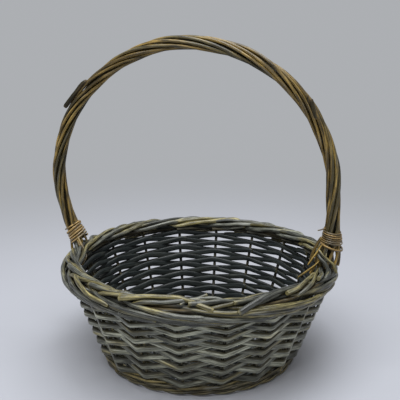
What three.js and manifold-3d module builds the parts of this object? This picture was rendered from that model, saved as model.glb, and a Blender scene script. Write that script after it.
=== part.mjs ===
// A round willow basket with a roped bow handle, built up from its separate rods.
// Lengths are in millimetres and +Z is up. The handle stands in the XZ plane, above the middle of the foot.
import * as THREE from "three";
import Module from "manifold-3d";
import { mergeVertices } from "three/addons/utils/BufferGeometryUtils.js";

const wasm = await Module();
wasm.setup();
const { clamp, degToRad, lerp, smoothstep } = THREE.MathUtils;

// Clearances between rods that lie against each other
const GAP = 0.4;
const BORE_GAP = 0.3;
const WEAVE_GAP = 0.55;

// Stakes, the upright rods of the wall
const STAKES_PER_SIDE = 9;
const STAKE_DIAMETER = 4;
const STAKE_TUCK = 19;
const STAKE_BEND = 6;

// The wall, a cone measured on the stakes' middle line
const FOOT_RADIUS = 108;
const WALL_LEAN = degToRad(20.4);

// Weavers, the split rods worked over one stake and under the next, thick at the foot and thin at the rim
const WEAVER_COUNT = 16;
const FOOT_WEAVER_HEIGHT = 6.15;
const RIM_WEAVER_HEIGHT = 4.05;
const WEAVER_THICKNESS = 2.8;
const ROW_GAP = 0.95;
const WEAVER_SLIP_SHARE = 0.5;

// Wales, the round rods at the bottom edge
const WALE_DIAMETER = 4.4;
const WALE_STROKE = 3;
const WALE_LIFT = 1.8;

// Base: four sticks pierced through five, then woven round
const STICK_DIAMETER = 4.8;
const STICK_SPACING = 5.5;
const CROSS_STICKS = 4;
const PIERCED_STICKS = 5;
const STICK_LEAD = degToRad(2.5);
const SLIT_HEIGHT = 4.3;
const SLIT_LIP = 1.65;
const SLATH_MARGIN = 3;
const TYING_ROUNDS = 3;
const ROUND_COUNT = 16;
const ROUND_THICKNESS = 2.7;
const ROUND_SLIT = 0.9;
const ROUND_MARGIN = 1;
const BASE_HOLE_GAP = 0.6;
const BASE_INSET = 5;

// Border, a plait of three strands that the stakes and the handle pass through
const STRAND_NAMES = ["border_strand_1", "border_strand_2", "border_strand_3"];
const STRAND_DIAMETER = 6.4;
const STRAND_CROSSING_GAP = 2.6;
const BORDER_INSET = 4;
const BORDER_SEAT = 2.5;
const EYE_GAP = 1;
const LEG_EYE_GAP = 3.8;
const LEG_PULL = 70;

// Handle: a bow with rods roped round it
const BOW_DIAMETER = 7.2;
const BOW_TIP_DIAMETER = 5.2;
const LEG_GAP = 1.3;
const LEG_OUTSET = 3;
const ARCH_OUTSET = 13;
const ARCH_SHIFT = -10;
const ARCH_FULLNESS = 3.2;
const ARCH_SHOULDER = degToRad(60);
const LEG_FULLNESS = 4.2;
const LEG_FULLNESS_SHARE = 0.45;
const LEG_STRAIGHT_SHARE = 0.11;
const ARCH_SPRING = 78;
const ARCH_RISE = 164;
const ROPE_ROD_COUNT = 7;
const ROPE_ROD_DIAMETER = 3.8;
const ROPE_GAP = 0.7;
const ROPE_TURNS = 2.5;
const ROPE_FLARE = 2.2;
const FLARE_LENGTH = 45;
const ROPE_SEAT = 4;

// Binding of cane round each foot of the handle
const CANE_DIAMETER = 2.3;
const CANE_GAP = 0.5;
const BINDING_TURNS = 6.5;
const BINDING_PITCH = 3.3;
const LEFT_BINDING_RISE = 4.5;
const RIGHT_BINDING_RISE = 12;
const CANE_END = 4.6;
const CANE_BEND = degToRad(24);

// Facets
const STAKE_SIDES = 5;
const WALE_SIDES = 6;
const WALE_STEPS = 36;
const STICK_SIDES = 6;
const STRAND_SIDES = 5;
const STRAND_STEPS = 90;
const BOW_SIDES = 8;
const BOW_STEPS = 60;
const ARCH_STEPS = 12;
const BOW_LENGTH_DIVISIONS = 2000;
const SEARCH_STEP = 0.1;
const ROPE_SIDES = 5;
const ROPE_STEPS = 46;
const CANE_SIDES = 6;
const CANE_STEPS = 24;
const SELF_GAP_REACH = 4;

// Finishes
const willow = (color, roughness) => new THREE.MeshStandardMaterial({ color, roughness, metalness: 0 });
const weaverFinish = willow(0x6c6f5c, 0.6);
const stakeFinish = willow(0x5a5339, 0.65);
const waleFinish = willow(0x5c4a31, 0.6);
const baseFinish = willow(0x4f4a3a, 0.7);
const borderFinish = willow(0x7b7a60, 0.5);
const handleFinish = willow(0x7a6a41, 0.5);
const caneFinish = willow(0xb08d58, 0.45);

// Heights and radii that follow from the sizes above
const up = new THREE.Vector3(0, 0, 1);
const footRingHeight = WALE_DIAMETER * Math.cos(Math.PI / WALE_SIDES);
const baseLevel = footRingHeight + GAP + STAKE_DIAMETER / 2;
const baseRadius = FOOT_RADIUS - BASE_INSET;
const wallRadius = (height) => FOOT_RADIUS + height * Math.tan(WALL_LEAN);
const upperWaleHeight = baseLevel + (STAKE_DIAMETER + WALE_DIAMETER) / 2 + WALE_LIFT;
const wallFoot = upperWaleHeight + (WALE_DIAMETER / 2 + WEAVE_GAP - ROW_GAP / 2) * Math.cos(WALL_LEAN);
const rowRoom = (row) => (weaverHeight(row) + ROW_GAP) * Math.cos(WALL_LEAN);
const wallTop = weaverLevel(WEAVER_COUNT - 1) + rowRoom(WEAVER_COUNT - 1) / 2;

// In the plait, where one strand stands at an edge the other two cross on the far side, with an eye between
const strandStep = (2 * Math.PI) / STRAND_NAMES.length;
const crossingShare = Math.cos(strandStep);
const eyeShare = 1 - crossingShare;
const eyeMiddleShare = (1 + crossingShare) / 2;
const plaitHalfWidth = (STRAND_DIAMETER + STAKE_DIAMETER + 2 * EYE_GAP) / eyeShare;
const legPlaitHalfWidth = (STRAND_DIAMETER + BOW_DIAMETER + 2 * LEG_EYE_GAP) / eyeShare;
const plaitHalfHeight = (STRAND_DIAMETER + STRAND_CROSSING_GAP) / (2 * Math.sin(strandStep));
const borderLevel = wallTop + BORDER_SEAT + plaitHalfHeight + STRAND_DIAMETER / 2;
const borderTop = borderLevel + plaitHalfHeight + STRAND_DIAMETER / 2;
const borderRadius = wallRadius(borderLevel) - BORDER_INSET;
const legRimRadius = wallRadius(wallTop) + LEG_OUTSET;
const archHalfWidth = legRimRadius + ARCH_OUTSET;
const archCentre = borderTop + ARCH_SPRING;

// A stake stands just beside each leg of the handle, so every stake lags a little behind an even division
const bowFoot = upperWaleHeight;
const besideLeg = (diameter) => (diameter + STAKE_DIAMETER) / 2 + LEG_GAP;
const lagAt = (diameter, height) => Math.asin(besideLeg(diameter) / wallRadius(height));
const stakeLag = Math.max(lagAt(BOW_TIP_DIAMETER, bowFoot), lagAt(BOW_DIAMETER, wallTop));
const stakeCount = 2 * STAKES_PER_SIDE;
const stakeAngle = (index) => (index * 2 * Math.PI) / stakeCount - stakeLag;

// The weavers thin out evenly from the foot to the rim
function weaverHeight(row) {
  return lerp(FOOT_WEAVER_HEIGHT, RIM_WEAVER_HEIGHT, row / (WEAVER_COUNT - 1));
}

function weaverLevel(row) {
  let level = wallFoot + rowRoom(0) / 2;
  for (let below = 0; below < row; below++) level += (rowRoom(below) + rowRoom(below + 1)) / 2;
  return level;
}

// A point at an angle round the basket's axis, a radius and a height
function around(angle, radius, height) {
  return new THREE.Vector3(radius * Math.cos(angle), radius * Math.sin(angle), height);
}

// A point on the wall's middle line, moved outwards by an offset square to the wall
function wallPoint(angle, height, offset) {
  const radius = wallRadius(height) + offset * Math.cos(WALL_LEAN);
  return around(angle, radius, height - offset * Math.sin(WALL_LEAN));
}

// Section outlines, as pairs of a sideways and an upward measure
function roundSection(diameter, sides) {
  return ovalSection(diameter, diameter, sides);
}

function ovalSection(width, height, sides) {
  return Array.from({ length: sides }, (_, side) => {
    const angle = ((side + 0.5) / sides) * 2 * Math.PI - Math.PI / 2;
    return [(width / 2) * Math.cos(angle), (height / 2) * Math.sin(angle)];
  });
}

function flatSection(width, height) {
  const across = width / 2;
  const along = height / 2;
  return [[-across, -along], [across, -along], [across, along], [-across, along]];
}

function splitSection(thickness, height) {
  const across = thickness / 2;
  const along = height / 2;
  const edge = thickness / 6;
  return [[-edge, -along], [edge, -along], [across, 0], [edge, along], [-edge, along], [-across, 0]];
}

// The volume that a list of triangles encloses, negative when its faces point inwards
function enclosedVolume(vertices, faces) {
  let volume = 0;
  for (let first = 0; first < faces.length; first += 3) {
    const [a, b, c] = faces.slice(first, first + 3).map((index) => vertices[index]);
    volume += a.dot(new THREE.Vector3().crossVectors(b, c)) / 6;
  }
  return volume;
}

// One closed surface through a row of equal outlines, with flat ends unless the row closes on itself
function skin(outlines, closed) {
  const sides = outlines[0].length;
  const spans = closed ? outlines.length : outlines.length - 1;
  const faces = [];
  for (let span = 0; span < spans; span++) {
    const here = span * sides;
    const next = ((span + 1) % outlines.length) * sides;
    for (let side = 0; side < sides; side++) {
      const beside = (side + 1) % sides;
      faces.push(here + side, here + beside, next + beside);
      faces.push(here + side, next + beside, next + side);
    }
  }
  if (!closed) {
    const last = (outlines.length - 1) * sides;
    for (let side = 1; side < sides - 1; side++) {
      faces.push(0, side + 1, side);
      faces.push(last, last + side, last + side + 1);
    }
  }
  const vertices = outlines.flat();
  const geometry = new THREE.BufferGeometry();
  const positions = vertices.flatMap((vertex) => vertex.toArray());
  geometry.setAttribute("position", new THREE.Float32BufferAttribute(positions, 3));
  geometry.setIndex(enclosedVolume(vertices, faces) < 0 ? faces.reverse() : faces);
  return geometry;
}

// A rod along points. Its section stands on a guide direction; both may change from point to point.
function rod(points, guide, section, closed = false) {
  const count = points.length;
  const outlines = points.map((point, index) => {
    const before = closed ? points[(index + count - 1) % count] : points[Math.max(index - 1, 0)];
    const after = closed ? points[(index + 1) % count] : points[Math.min(index + 1, count - 1)];
    const into = new THREE.Vector3().subVectors(point, before).normalize();
    const onward = new THREE.Vector3().subVectors(after, point).normalize();
    const direction = into.add(onward).normalize();
    const guideHere = typeof guide === "function" ? guide(index) : guide;
    const sectionHere = typeof section === "function" ? section(index) : section;
    const sideways = new THREE.Vector3().crossVectors(direction, guideHere).normalize();
    const upward = new THREE.Vector3().crossVectors(sideways, direction);
    return sectionHere.map(([across, along]) =>
      point.clone().addScaledVector(sideways, across).addScaledVector(upward, along),
    );
  });
  return skin(outlines, closed);
}

// Solids for cutting
function solidOf(geometry) {
  const bare = geometry.clone();
  bare.deleteAttribute("normal");
  bare.deleteAttribute("uv");
  const merged = mergeVertices(bare);
  return new wasm.Manifold(
    new wasm.Mesh({
      numProp: 3,
      vertProperties: merged.attributes.position.array,
      triVerts: new Uint32Array(merged.index.array),
    }),
  );
}

function geometryOf(solid) {
  const mesh = solid.getMesh();
  const geometry = new THREE.BufferGeometry();
  geometry.setAttribute("position", new THREE.BufferAttribute(mesh.vertProperties, 3));
  geometry.setIndex(new THREE.BufferAttribute(mesh.triVerts, 1));
  return geometry;
}

const basket = new THREE.Group();

function add(name, geometry, finish) {
  geometry.computeVertexNormals();
  const mesh = new THREE.Mesh(geometry, finish.clone());
  mesh.name = name;
  basket.add(mesh);
}

// Stakes: tucked into the base, bent up at its edge and led up the wall into the border's eyes
const standsAtLeg = (index) => index % STAKES_PER_SIDE === 0;

function stakeFoot(angle) {
  const bendStart = wallRadius(baseLevel) - STAKE_BEND;
  return [around(angle, baseRadius - STAKE_TUCK, baseLevel), around(angle, bendStart, baseLevel)];
}

function stakeRod(points, angle, diameter) {
  const acrossStake = new THREE.Vector3(-Math.sin(angle), Math.cos(angle), 0);
  return rod(points, acrossStake, roundSection(diameter, STAKE_SIDES));
}

function stakeBend(angle) {
  const [, bendStart] = stakeFoot(angle);
  const corner = around(angle, wallRadius(baseLevel), baseLevel);
  const bendEnd = wallPoint(angle, baseLevel + STAKE_BEND * Math.cos(WALL_LEAN), 0);
  return new THREE.QuadraticBezierCurve3(bendStart, corner, bendEnd);
}

function stakePoints(index) {
  const angle = stakeAngle(index);
  const points = [stakeFoot(angle)[0], ...stakeBend(angle).getPoints(2)];
  if (standsAtLeg(index)) {
    points.push(wallPoint(angle, wallTop, 0));
    return points;
  }
  const { middle, halfWidth } = plaitAt(angle);
  const eyeRadius = middle + Math.cos(plaitPhase(angle, 0)) * halfWidth * eyeMiddleShare;
  points.push(wallPoint(angle, wallTop, 0));
  points.push(around(angle, eyeRadius, borderLevel));
  points.push(around(angle, eyeRadius, borderLevel + STRAND_DIAMETER / 2));
  return points;
}

// The plait: each strand swings across the rim and rises twice as it does
function legPull(angle) {
  return Math.abs(Math.cos(angle)) ** LEG_PULL;
}

function plaitPhase(angle, strand) {
  const stakeTurn = angle + stakeLag * (1 - legPull(angle));
  return STAKES_PER_SIDE * stakeTurn + strand * strandStep;
}

// The middle radius and half width of the plait, which opens where a leg of the handle passes through
function plaitAt(angle) {
  const pull = legPull(angle);
  const legAngle = Math.cos(angle) > 0 ? 0 : Math.PI;
  const legEye = Math.cos(STAKES_PER_SIDE * legAngle) * legPlaitHalfWidth * eyeMiddleShare;
  return {
    middle: lerp(borderRadius, legRimRadius - legEye, pull),
    halfWidth: lerp(plaitHalfWidth, legPlaitHalfWidth, pull),
  };
}

function strandPoint(angle, strand) {
  const { middle, halfWidth } = plaitAt(angle);
  const phase = plaitPhase(angle, strand);
  const height = borderLevel + plaitHalfHeight * Math.sin(2 * phase);
  return around(angle, middle + halfWidth * Math.cos(phase), height);
}

// The bow: up the wall beside a stake, through the border, over the arch and down again
const legRadiusAt = (height) => {
  const share = clamp((height - bowFoot) / (wallTop - bowFoot), 0, 1);
  return lerp(BOW_TIP_DIAMETER, BOW_DIAMETER, share) / 2;
};

// The arch is fuller on its left side, from its shoulder down
function archPoint(turn) {
  const fullness = ARCH_FULLNESS * smoothstep(turn, Math.PI - ARCH_SHOULDER, Math.PI - ARCH_SHOULDER / 2);
  const x = ARCH_SHIFT + archHalfWidth * Math.cos(turn) - fullness;
  return [x, archCentre + ARCH_RISE * Math.sin(turn)];
}

function bowCurve() {
  const legHeights = [0, 1 / 3, 2 / 3, 1].map((share) => lerp(bowFoot, wallTop, share));
  const wallLeg = legHeights.map((height) => [wallRadius(height), height]);
  wallLeg.push([legRimRadius, borderLevel]);
  const arch = Array.from({ length: ARCH_STEPS + 1 }, (_, step) =>
    archPoint(Math.PI * (1 - step / ARCH_STEPS)),
  );
  const left = wallLeg.map(([radius, height]) => [-radius, height]);
  const [legFoot, springing] = [left.at(-1), arch[0]];
  const upTheLeg = (share, fullness) => [
    lerp(legFoot[0], springing[0], share) - fullness,
    lerp(legFoot[1], springing[1], share),
  ];
  left.push(upTheLeg(LEG_STRAIGHT_SHARE, 0), upTheLeg(LEG_FULLNESS_SHARE, LEG_FULLNESS));
  const right = wallLeg.toReversed();
  const points = [...left, ...arch, ...right].map(([x, z]) => new THREE.Vector3(x, 0, z));
  const curve = new THREE.CatmullRomCurve3(points, false, "centripetal");
  curve.arcLengthDivisions = BOW_LENGTH_DIVISIONS;
  return curve;
}

const bow = bowCurve();
const bowLength = bow.getLength();

// The distance along the bow, from its left foot, at which the inner side of a leg passes a height
function legDistanceAt(height, radius, along) {
  let distance = along > 0 ? 0 : bowLength;
  while (besideBow(distance, Math.PI, radius).z < height) distance += along * SEARCH_STEP;
  return distance;
}

const ropeStart = legDistanceAt(borderTop + ROPE_SEAT, 0, 1);
const ropeEnd = legDistanceAt(borderTop + ROPE_SEAT, 0, -1);

// The helix on which the rope's rods lie widens towards each foot
function ropeRadius(distance) {
  const fromFoot = Math.min(distance - ropeStart, ropeEnd - distance);
  const flare = ROPE_FLARE * (1 - smoothstep(fromFoot, 0, FLARE_LENGTH));
  return (BOW_DIAMETER + ROPE_ROD_DIAMETER) / 2 + ROPE_GAP + flare;
}

// The direction square to the bow at an angle that starts on its outer side and turns away from the front
function bowSide(distance, turn) {
  const tangent = bow.getTangentAt(clamp(distance / bowLength, 0, 1));
  const outward = new THREE.Vector3(-tangent.z, 0, tangent.x);
  return outward.multiplyScalar(Math.cos(turn)).add(new THREE.Vector3(0, Math.sin(turn), 0));
}

function besideBow(distance, turn, radius) {
  const centre = bow.getPointAt(clamp(distance / bowLength, 0, 1));
  return centre.addScaledVector(bowSide(distance, turn), radius);
}

function bowGeometry() {
  const points = Array.from({ length: BOW_STEPS + 1 }, (_, step) => bow.getPointAt(step / BOW_STEPS));
  const section = (index) => roundSection(2 * legRadiusAt(points[index].z), BOW_SIDES);
  return rod(points, new THREE.Vector3(0, 1, 0), section);
}

function ropeRod(index) {
  const startTurn = (index * 2 * Math.PI) / ROPE_ROD_COUNT;
  const places = Array.from({ length: ROPE_STEPS + 1 }, (_, step) => {
    const share = step / ROPE_STEPS;
    const distance = lerp(ropeStart, ropeEnd, share);
    return { distance, turn: startTurn - 2 * Math.PI * ROPE_TURNS * share };
  });
  const points = places.map(({ distance, turn }) => besideBow(distance, turn, ropeRadius(distance)));
  const guide = (step) => bowSide(places[step].distance, places[step].turn);
  return rod(points, guide, roundSection(ROPE_ROD_DIAMETER, ROPE_SIDES));
}

// Cane binding: a straight end up from the border, the turns, and a straight end along the rope
function bindingPlaces(footRise) {
  const turnStart = CANE_DIAMETER / 2;
  const places = [
    { rise: footRise, turn: 0 },
    { rise: footRise + CANE_END, turn: 0 },
    { rise: -CANE_DIAMETER, turn: 0 },
    { rise: -turnStart, turn: CANE_BEND / 3 },
  ];
  const steps = Math.round(BINDING_TURNS * CANE_STEPS);
  for (let step = 0; step <= steps; step++) {
    const turns = step / CANE_STEPS;
    places.push({ rise: turns * BINDING_PITCH, turn: CANE_BEND + turns * 2 * Math.PI });
  }
  const last = places.at(-1);
  const straight = { rise: last.rise + 2 * CANE_DIAMETER, turn: last.turn + CANE_BEND };
  places.push({ rise: last.rise + CANE_DIAMETER, turn: last.turn + (2 * CANE_BEND) / 3 });
  places.push(straight);
  places.push({ rise: straight.rise + CANE_END, turn: straight.turn });
  return places;
}

function binding(name, foot, along, rise) {
  const overRope = (ROPE_ROD_DIAMETER + CANE_DIAMETER) / 2 + CANE_GAP;
  const caneRadiusAt = (distance) => ropeRadius(distance) + overRope;
  const start = foot + along * rise;
  const caneFoot = legDistanceAt(borderTop + GAP, caneRadiusAt(foot), along);
  const spots = bindingPlaces(along * (caneFoot - start)).map(({ rise, turn }) => {
    const distance = start + along * rise;
    const radius = caneRadiusAt(clamp(distance, ropeStart, ropeEnd));
    return { distance, turn: Math.PI - along * turn, radius };
  });
  const points = spots.map(({ distance, turn, radius }) => besideBow(distance, turn, radius));
  const guide = (index) => bowSide(spots[index].distance, spots[index].turn);
  console.log(name + ": least gap to itself " + leastSelfGap(points, CANE_DIAMETER).toFixed(2) + " mm");
  return rod(points, guide, roundSection(CANE_DIAMETER, CANE_SIDES));
}

// The least clear distance between stretches of a winding that lie more than a few diameters apart along it
function leastSelfGap(points, diameter) {
  const walked = [0];
  for (let index = 1; index < points.length; index++) {
    walked.push(walked[index - 1] + points[index].distanceTo(points[index - 1]));
  }
  let least = Infinity;
  for (let first = 0; first < points.length; first++) {
    for (let second = first + 1; second < points.length; second++) {
      if (walked[second] - walked[first] < SELF_GAP_REACH * diameter) continue;
      least = Math.min(least, points[first].distanceTo(points[second]) - diameter);
    }
  }
  return least;
}

// The path of a rod worked round the stakes: side(index) says on which side it passes each one. A slip is how
// much lower along the wall it lies where it passes outside than where it passes inside.
function workedRound(middleHeight, thickness, side, slip = 0) {
  const points = [];
  for (let index = 0; index < stakeCount; index++) {
    const angle = stakeAngle(index);
    const height = middleHeight - (side(index) * slip * Math.cos(WALL_LEAN)) / 2;
    if (standsAtLeg(index)) {
      const reach = side(index) * (legRadiusAt(height) + thickness / 2 + LEG_GAP);
      const margin = (legRadiusAt(height) + LEG_GAP) / wallRadius(height);
      points.push(wallPoint(angle - margin, height, reach));
      points.push(wallPoint(angle + stakeLag + margin, height, reach));
    } else {
      const reach = side(index) * (STAKE_DIAMETER / 2 + thickness / 2 + WEAVE_GAP);
      points.push(wallPoint(angle, height, reach));
    }
  }
  return points;
}

// The first row rests on the upper wale, so it can't slip down past it
const rowSlip = (row) => (row === 0 ? 0 : WEAVER_SLIP_SHARE * weaverHeight(row));

function weaver(row) {
  const side = (index) => ((index + row) % 2 === 0 ? 1 : -1);
  const points = workedRound(weaverLevel(row), WEAVER_THICKNESS, side, rowSlip(row));
  const alongWall = (index) => {
    const angle = Math.atan2(points[index].y, points[index].x);
    return around(angle, Math.sin(WALL_LEAN), Math.cos(WALL_LEAN));
  };
  return rod(points, alongWall, splitSection(WEAVER_THICKNESS, weaverHeight(row)), true);
}

function plainRing(radius, height) {
  const points = Array.from({ length: WALE_STEPS }, (_, step) =>
    around((step / WALE_STEPS) * 2 * Math.PI, radius, height),
  );
  return rod(points, up, roundSection(WALE_DIAMETER, WALE_SIDES), true);
}

// The lower wale lies outside the stakes, square to the middle of their bend
function lowerWale() {
  const bend = stakeBend(0);
  const middle = bend.getPoint(0.5);
  const direction = bend.getTangent(0.5);
  const reach = (STAKE_DIAMETER + WALE_DIAMETER) / 2 + WEAVE_GAP;
  return plainRing(middle.x + direction.z * reach, middle.z - direction.x * reach);
}

function upperWale() {
  const side = (index) => ((index + 1) % WALE_STROKE === 0 ? -1 : 1);
  const points = workedRound(upperWaleHeight, WALE_DIAMETER, side);
  return rod(points, up, roundSection(WALE_DIAMETER, WALE_SIDES), true);
}

// Base sticks: they lie side by side in the slath and fan out to the edge of the base
const crossHalf = (CROSS_STICKS * STICK_SPACING) / 2;
const piercedHalf = (PIERCED_STICKS * STICK_SPACING) / 2;
const fanStep = (2 * Math.PI) / (2 * (CROSS_STICKS + PIERCED_STICKS));

function stickPoints(index, count, slathHalf) {
  const offset = (index - (count - 1) / 2) * STICK_SPACING;
  const angle = (index - (count - 1) / 2) * fanStep;
  const flatEnd = slathHalf + GAP;
  const roundEnd = slathHalf + SLATH_MARGIN;
  return [
    around(Math.PI - angle + STICK_LEAD, baseRadius, baseLevel),
    new THREE.Vector3(-roundEnd, offset, baseLevel),
    new THREE.Vector3(-flatEnd, offset, baseLevel),
    new THREE.Vector3(flatEnd, offset, baseLevel),
    new THREE.Vector3(roundEnd, offset, baseLevel),
    around(angle + STICK_LEAD, baseRadius, baseLevel),
  ];
}

function stick(points, slathHeight, gap = 0) {
  const isInSlath = (index) => index === 2 || index === 3;
  const section = (index) => {
    const height = isInSlath(index) ? slathHeight : STICK_DIAMETER;
    return ovalSection(STICK_DIAMETER + 2 * gap, height + 2 * gap, STICK_SIDES);
  };
  return rod(points, up, section);
}

const piercedStick = (index) => stickPoints(index, PIERCED_STICKS, crossHalf);
const crossStick = (index) =>
  stickPoints(index, CROSS_STICKS, piercedHalf).map((point) => new THREE.Vector3(-point.y, point.x, point.z));

function slitTool() {
  const length = 2 * (piercedHalf + SLATH_MARGIN);
  const slit = new THREE.BoxGeometry(2 * crossHalf, length, SLIT_HEIGHT);
  slit.translate(0, 0, baseLevel);
  return solidOf(slit);
}

// The base weave is one flat rod, led round from the slath to the edge of the base
const thickSticks = ((PIERCED_STICKS - 1) / 2) * STICK_SPACING;
const baseHole = Math.hypot(crossHalf + SLATH_MARGIN, thickSticks) + BASE_HOLE_GAP;
const roundWidth = (baseRadius - baseHole - ROUND_COUNT * ROUND_SLIT) / (ROUND_COUNT + 1);
const roundLift = STICK_DIAMETER / 2 + BORE_GAP + ROUND_THICKNESS / 2;

// The ends of the sticks, in their order round the base
function stickEnds() {
  const endsOf = (points, pierced) => [
    { pierced, inner: points[1], outer: points[0] },
    { pierced, inner: points[4], outer: points[5] },
  ];
  const ends = [];
  for (let index = 0; index < PIERCED_STICKS; index++) ends.push(...endsOf(piercedStick(index), true));
  for (let index = 0; index < CROSS_STICKS; index++) ends.push(...endsOf(crossStick(index), false));
  return ends.sort((first, second) => turnOf(first.outer) - turnOf(second.outer));
}

// The angle of a point round the axis, from nothing to a full turn
function turnOf(point) {
  return new THREE.Vector2(point.x, point.y).angle();
}

// The place where a stick's end crosses a radius
function endAtRadius({ inner, outer }, radius) {
  const along = new THREE.Vector2(outer.x - inner.x, outer.y - inner.y);
  const from = new THREE.Vector2(inner.x, inner.y);
  const square = along.lengthSq();
  const half = from.dot(along);
  const share = (Math.sqrt(half * half - square * (from.lengthSq() - radius * radius)) - half) / square;
  return from.addScaledVector(along, share);
}

// The rod passes over one stick's end and under the next. From one round to the next it takes two ends
// together, so that each round lies opposite to the last. The tying rounds take all the ends of a group
// together, and at the edge the rod takes the stake beside each end with it.
function baseWeave() {
  const ends = stickEnds();
  const strokes = ROUND_COUNT * ends.length;
  const points = [];
  for (let stroke = 0; stroke < strokes; stroke++) {
    const index = stroke % ends.length;
    const round = Math.floor(stroke / ends.length);
    const end = ends[index];
    const isOver = round < TYING_ROUNDS ? end.pierced : index % 2 === 0;
    const side = isOver === (round % 2 === 0) ? 1 : -1;
    const share = stroke / (strokes - 1);
    const radius = lerp(baseHole + roundWidth / 2, baseRadius - roundWidth / 2, share);
    const stickReach = (STICK_DIAMETER / 2 + BORE_GAP + ROUND_MARGIN) / radius;
    const stakeReach = (STAKE_DIAMETER / 2 + BORE_GAP + ROUND_MARGIN) / radius;
    const angle = turnOf(endAtRadius(end, radius));
    const besideStake = turnOf(end.outer) - STICK_LEAD - stakeLag - stakeReach;
    const reachesStakes = radius + roundWidth > baseRadius - STAKE_TUCK;
    const height = baseLevel + side * roundLift;
    points.push(around(reachesStakes ? besideStake : angle - stickReach, radius, height));
    points.push(around(angle + stickReach, radius, height));
  }
  return rod(points, up, flatSection(roundWidth, ROUND_THICKNESS));
}

// Assembly
const slit = slitTool();
const piercedHeight = SLIT_HEIGHT + 2 * SLIT_LIP;
for (let index = 0; index < PIERCED_STICKS; index++) {
  const whole = solidOf(stick(piercedStick(index), piercedHeight));
  add("base_stick_" + (index + 1), geometryOf(whole.subtract(slit)), baseFinish);
}
for (let index = 0; index < CROSS_STICKS; index++) {
  const flattened = SLIT_HEIGHT - 2 * BORE_GAP;
  add("base_stick_" + (PIERCED_STICKS + index + 1), stick(crossStick(index), flattened), baseFinish);
}
add("base_weave", baseWeave(), baseFinish);

const twoDigits = (number) => String(number).padStart(2, "0");
for (let index = 0; index < stakeCount; index++) {
  const geometry = stakeRod(stakePoints(index), stakeAngle(index), STAKE_DIAMETER);
  add("stake_" + twoDigits(index + 1), geometry, stakeFinish);
}

add("foot_wale", plainRing(baseRadius + WALE_DIAMETER / 2 + GAP, footRingHeight / 2), waleFinish);
add("lower_wale", lowerWale(), waleFinish);
add("upper_wale", upperWale(), waleFinish);
for (let row = 0; row < WEAVER_COUNT; row++) {
  add("weaver_" + twoDigits(row + 1), weaver(row), weaverFinish);
}

STRAND_NAMES.forEach((name, strand) => {
  const points = Array.from({ length: STRAND_STEPS }, (_, step) =>
    strandPoint((step / STRAND_STEPS) * 2 * Math.PI, strand),
  );
  add(name, rod(points, up, roundSection(STRAND_DIAMETER, STRAND_SIDES), true), borderFinish);
});

add("handle_bow", bowGeometry(), handleFinish);
for (let index = 0; index < ROPE_ROD_COUNT; index++) {
  add("handle_rod_" + (index + 1), ropeRod(index), handleFinish);
}
add("binding_left", binding("binding_left", ropeStart, 1, LEFT_BINDING_RISE), caneFinish);
add("binding_right", binding("binding_right", ropeEnd, -1, RIGHT_BINDING_RISE), caneFinish);

// The handle leans out further on one side, so the whole is moved until its box is centred on the origin
const box = new THREE.Box3().setFromObject(basket, true);
basket.position.x = -(box.min.x + box.max.x) / 2;
basket.position.y = -(box.min.y + box.max.y) / 2;

export default basket;
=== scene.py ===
"""A round willow basket with a plaited border and a roped bow handle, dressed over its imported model."""

import math
import random
from bisect import bisect_right

import bmesh
import bpy
from bpy.props import FloatProperty, FloatVectorProperty, IntProperty, PointerProperty
from mathutils import Matrix, Vector, noise


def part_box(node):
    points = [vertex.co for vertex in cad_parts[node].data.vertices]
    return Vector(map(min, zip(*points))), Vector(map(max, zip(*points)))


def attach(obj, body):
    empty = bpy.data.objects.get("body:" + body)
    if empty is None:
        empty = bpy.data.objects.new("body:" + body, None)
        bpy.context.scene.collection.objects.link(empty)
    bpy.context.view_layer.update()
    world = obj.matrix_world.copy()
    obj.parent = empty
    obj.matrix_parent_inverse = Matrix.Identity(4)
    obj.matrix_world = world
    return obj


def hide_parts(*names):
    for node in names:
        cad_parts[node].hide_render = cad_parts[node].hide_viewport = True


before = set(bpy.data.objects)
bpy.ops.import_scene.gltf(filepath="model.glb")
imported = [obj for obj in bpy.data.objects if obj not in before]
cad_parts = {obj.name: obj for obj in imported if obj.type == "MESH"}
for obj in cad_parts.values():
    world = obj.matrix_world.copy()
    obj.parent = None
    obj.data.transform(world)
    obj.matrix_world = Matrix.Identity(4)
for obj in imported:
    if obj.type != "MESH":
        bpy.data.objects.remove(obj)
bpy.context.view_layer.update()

bl_info = {
    "name": "Willow Basket",
    "version": (1, 0, 0),
    "blender": (4, 5, 0),
    "location": "3D View > Sidebar > Basket",
    "description": "Weaves a round willow basket with a plaited border and a roped handle",
    "category": "Add Mesh",
}

MM = 0.001
UP = Vector((0, 0, 1))
BODY = "root"

# The basket's upright axis runs through the middle of its foot
foot_low, foot_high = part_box("foot_wale")
AXIS = Vector(((foot_low.x + foot_high.x) / 2, (foot_low.y + foot_high.y) / 2, 0))

# Facets round a rod, a fine one and a round of the base
ROD_SIDES = 10
FINE_SIDES = 8
ROUND_SIDES = 6
# A rod's cut end is a little narrower than the rod
END_SHARE = 0.82
# How close a rod's swellings lie, and how much they differ from the next rod's
SWELLINGS = 70
SWELLING_CHANGE = 13
# A corner takes up this share of a straight stretch at most, in so many steps
CORNER_SHARE = 0.45
CORNER_STEPS = 4
# Shortest distance that counts between two points
TINY = 1e-6

# A leg of the handle: its diameter at its foot, and the height from which and over which it grows thicker
LEG_FOOT = 0.0052
LEG_LOW = 0.0122
LEG_GROWTH = 0.0929


# Sizes and colours


def length(name, description, default):
    return FloatProperty(name=name, description=description, default=default, unit="LENGTH", precision=4)


def turn(name, description, degrees):
    return FloatProperty(name=name, description=description, default=math.radians(degrees), unit="ROTATION")


def colour(name, description, default):
    return FloatVectorProperty(
        name=name, description=description, default=default, size=3, subtype="COLOR", min=0, max=1)


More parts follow.
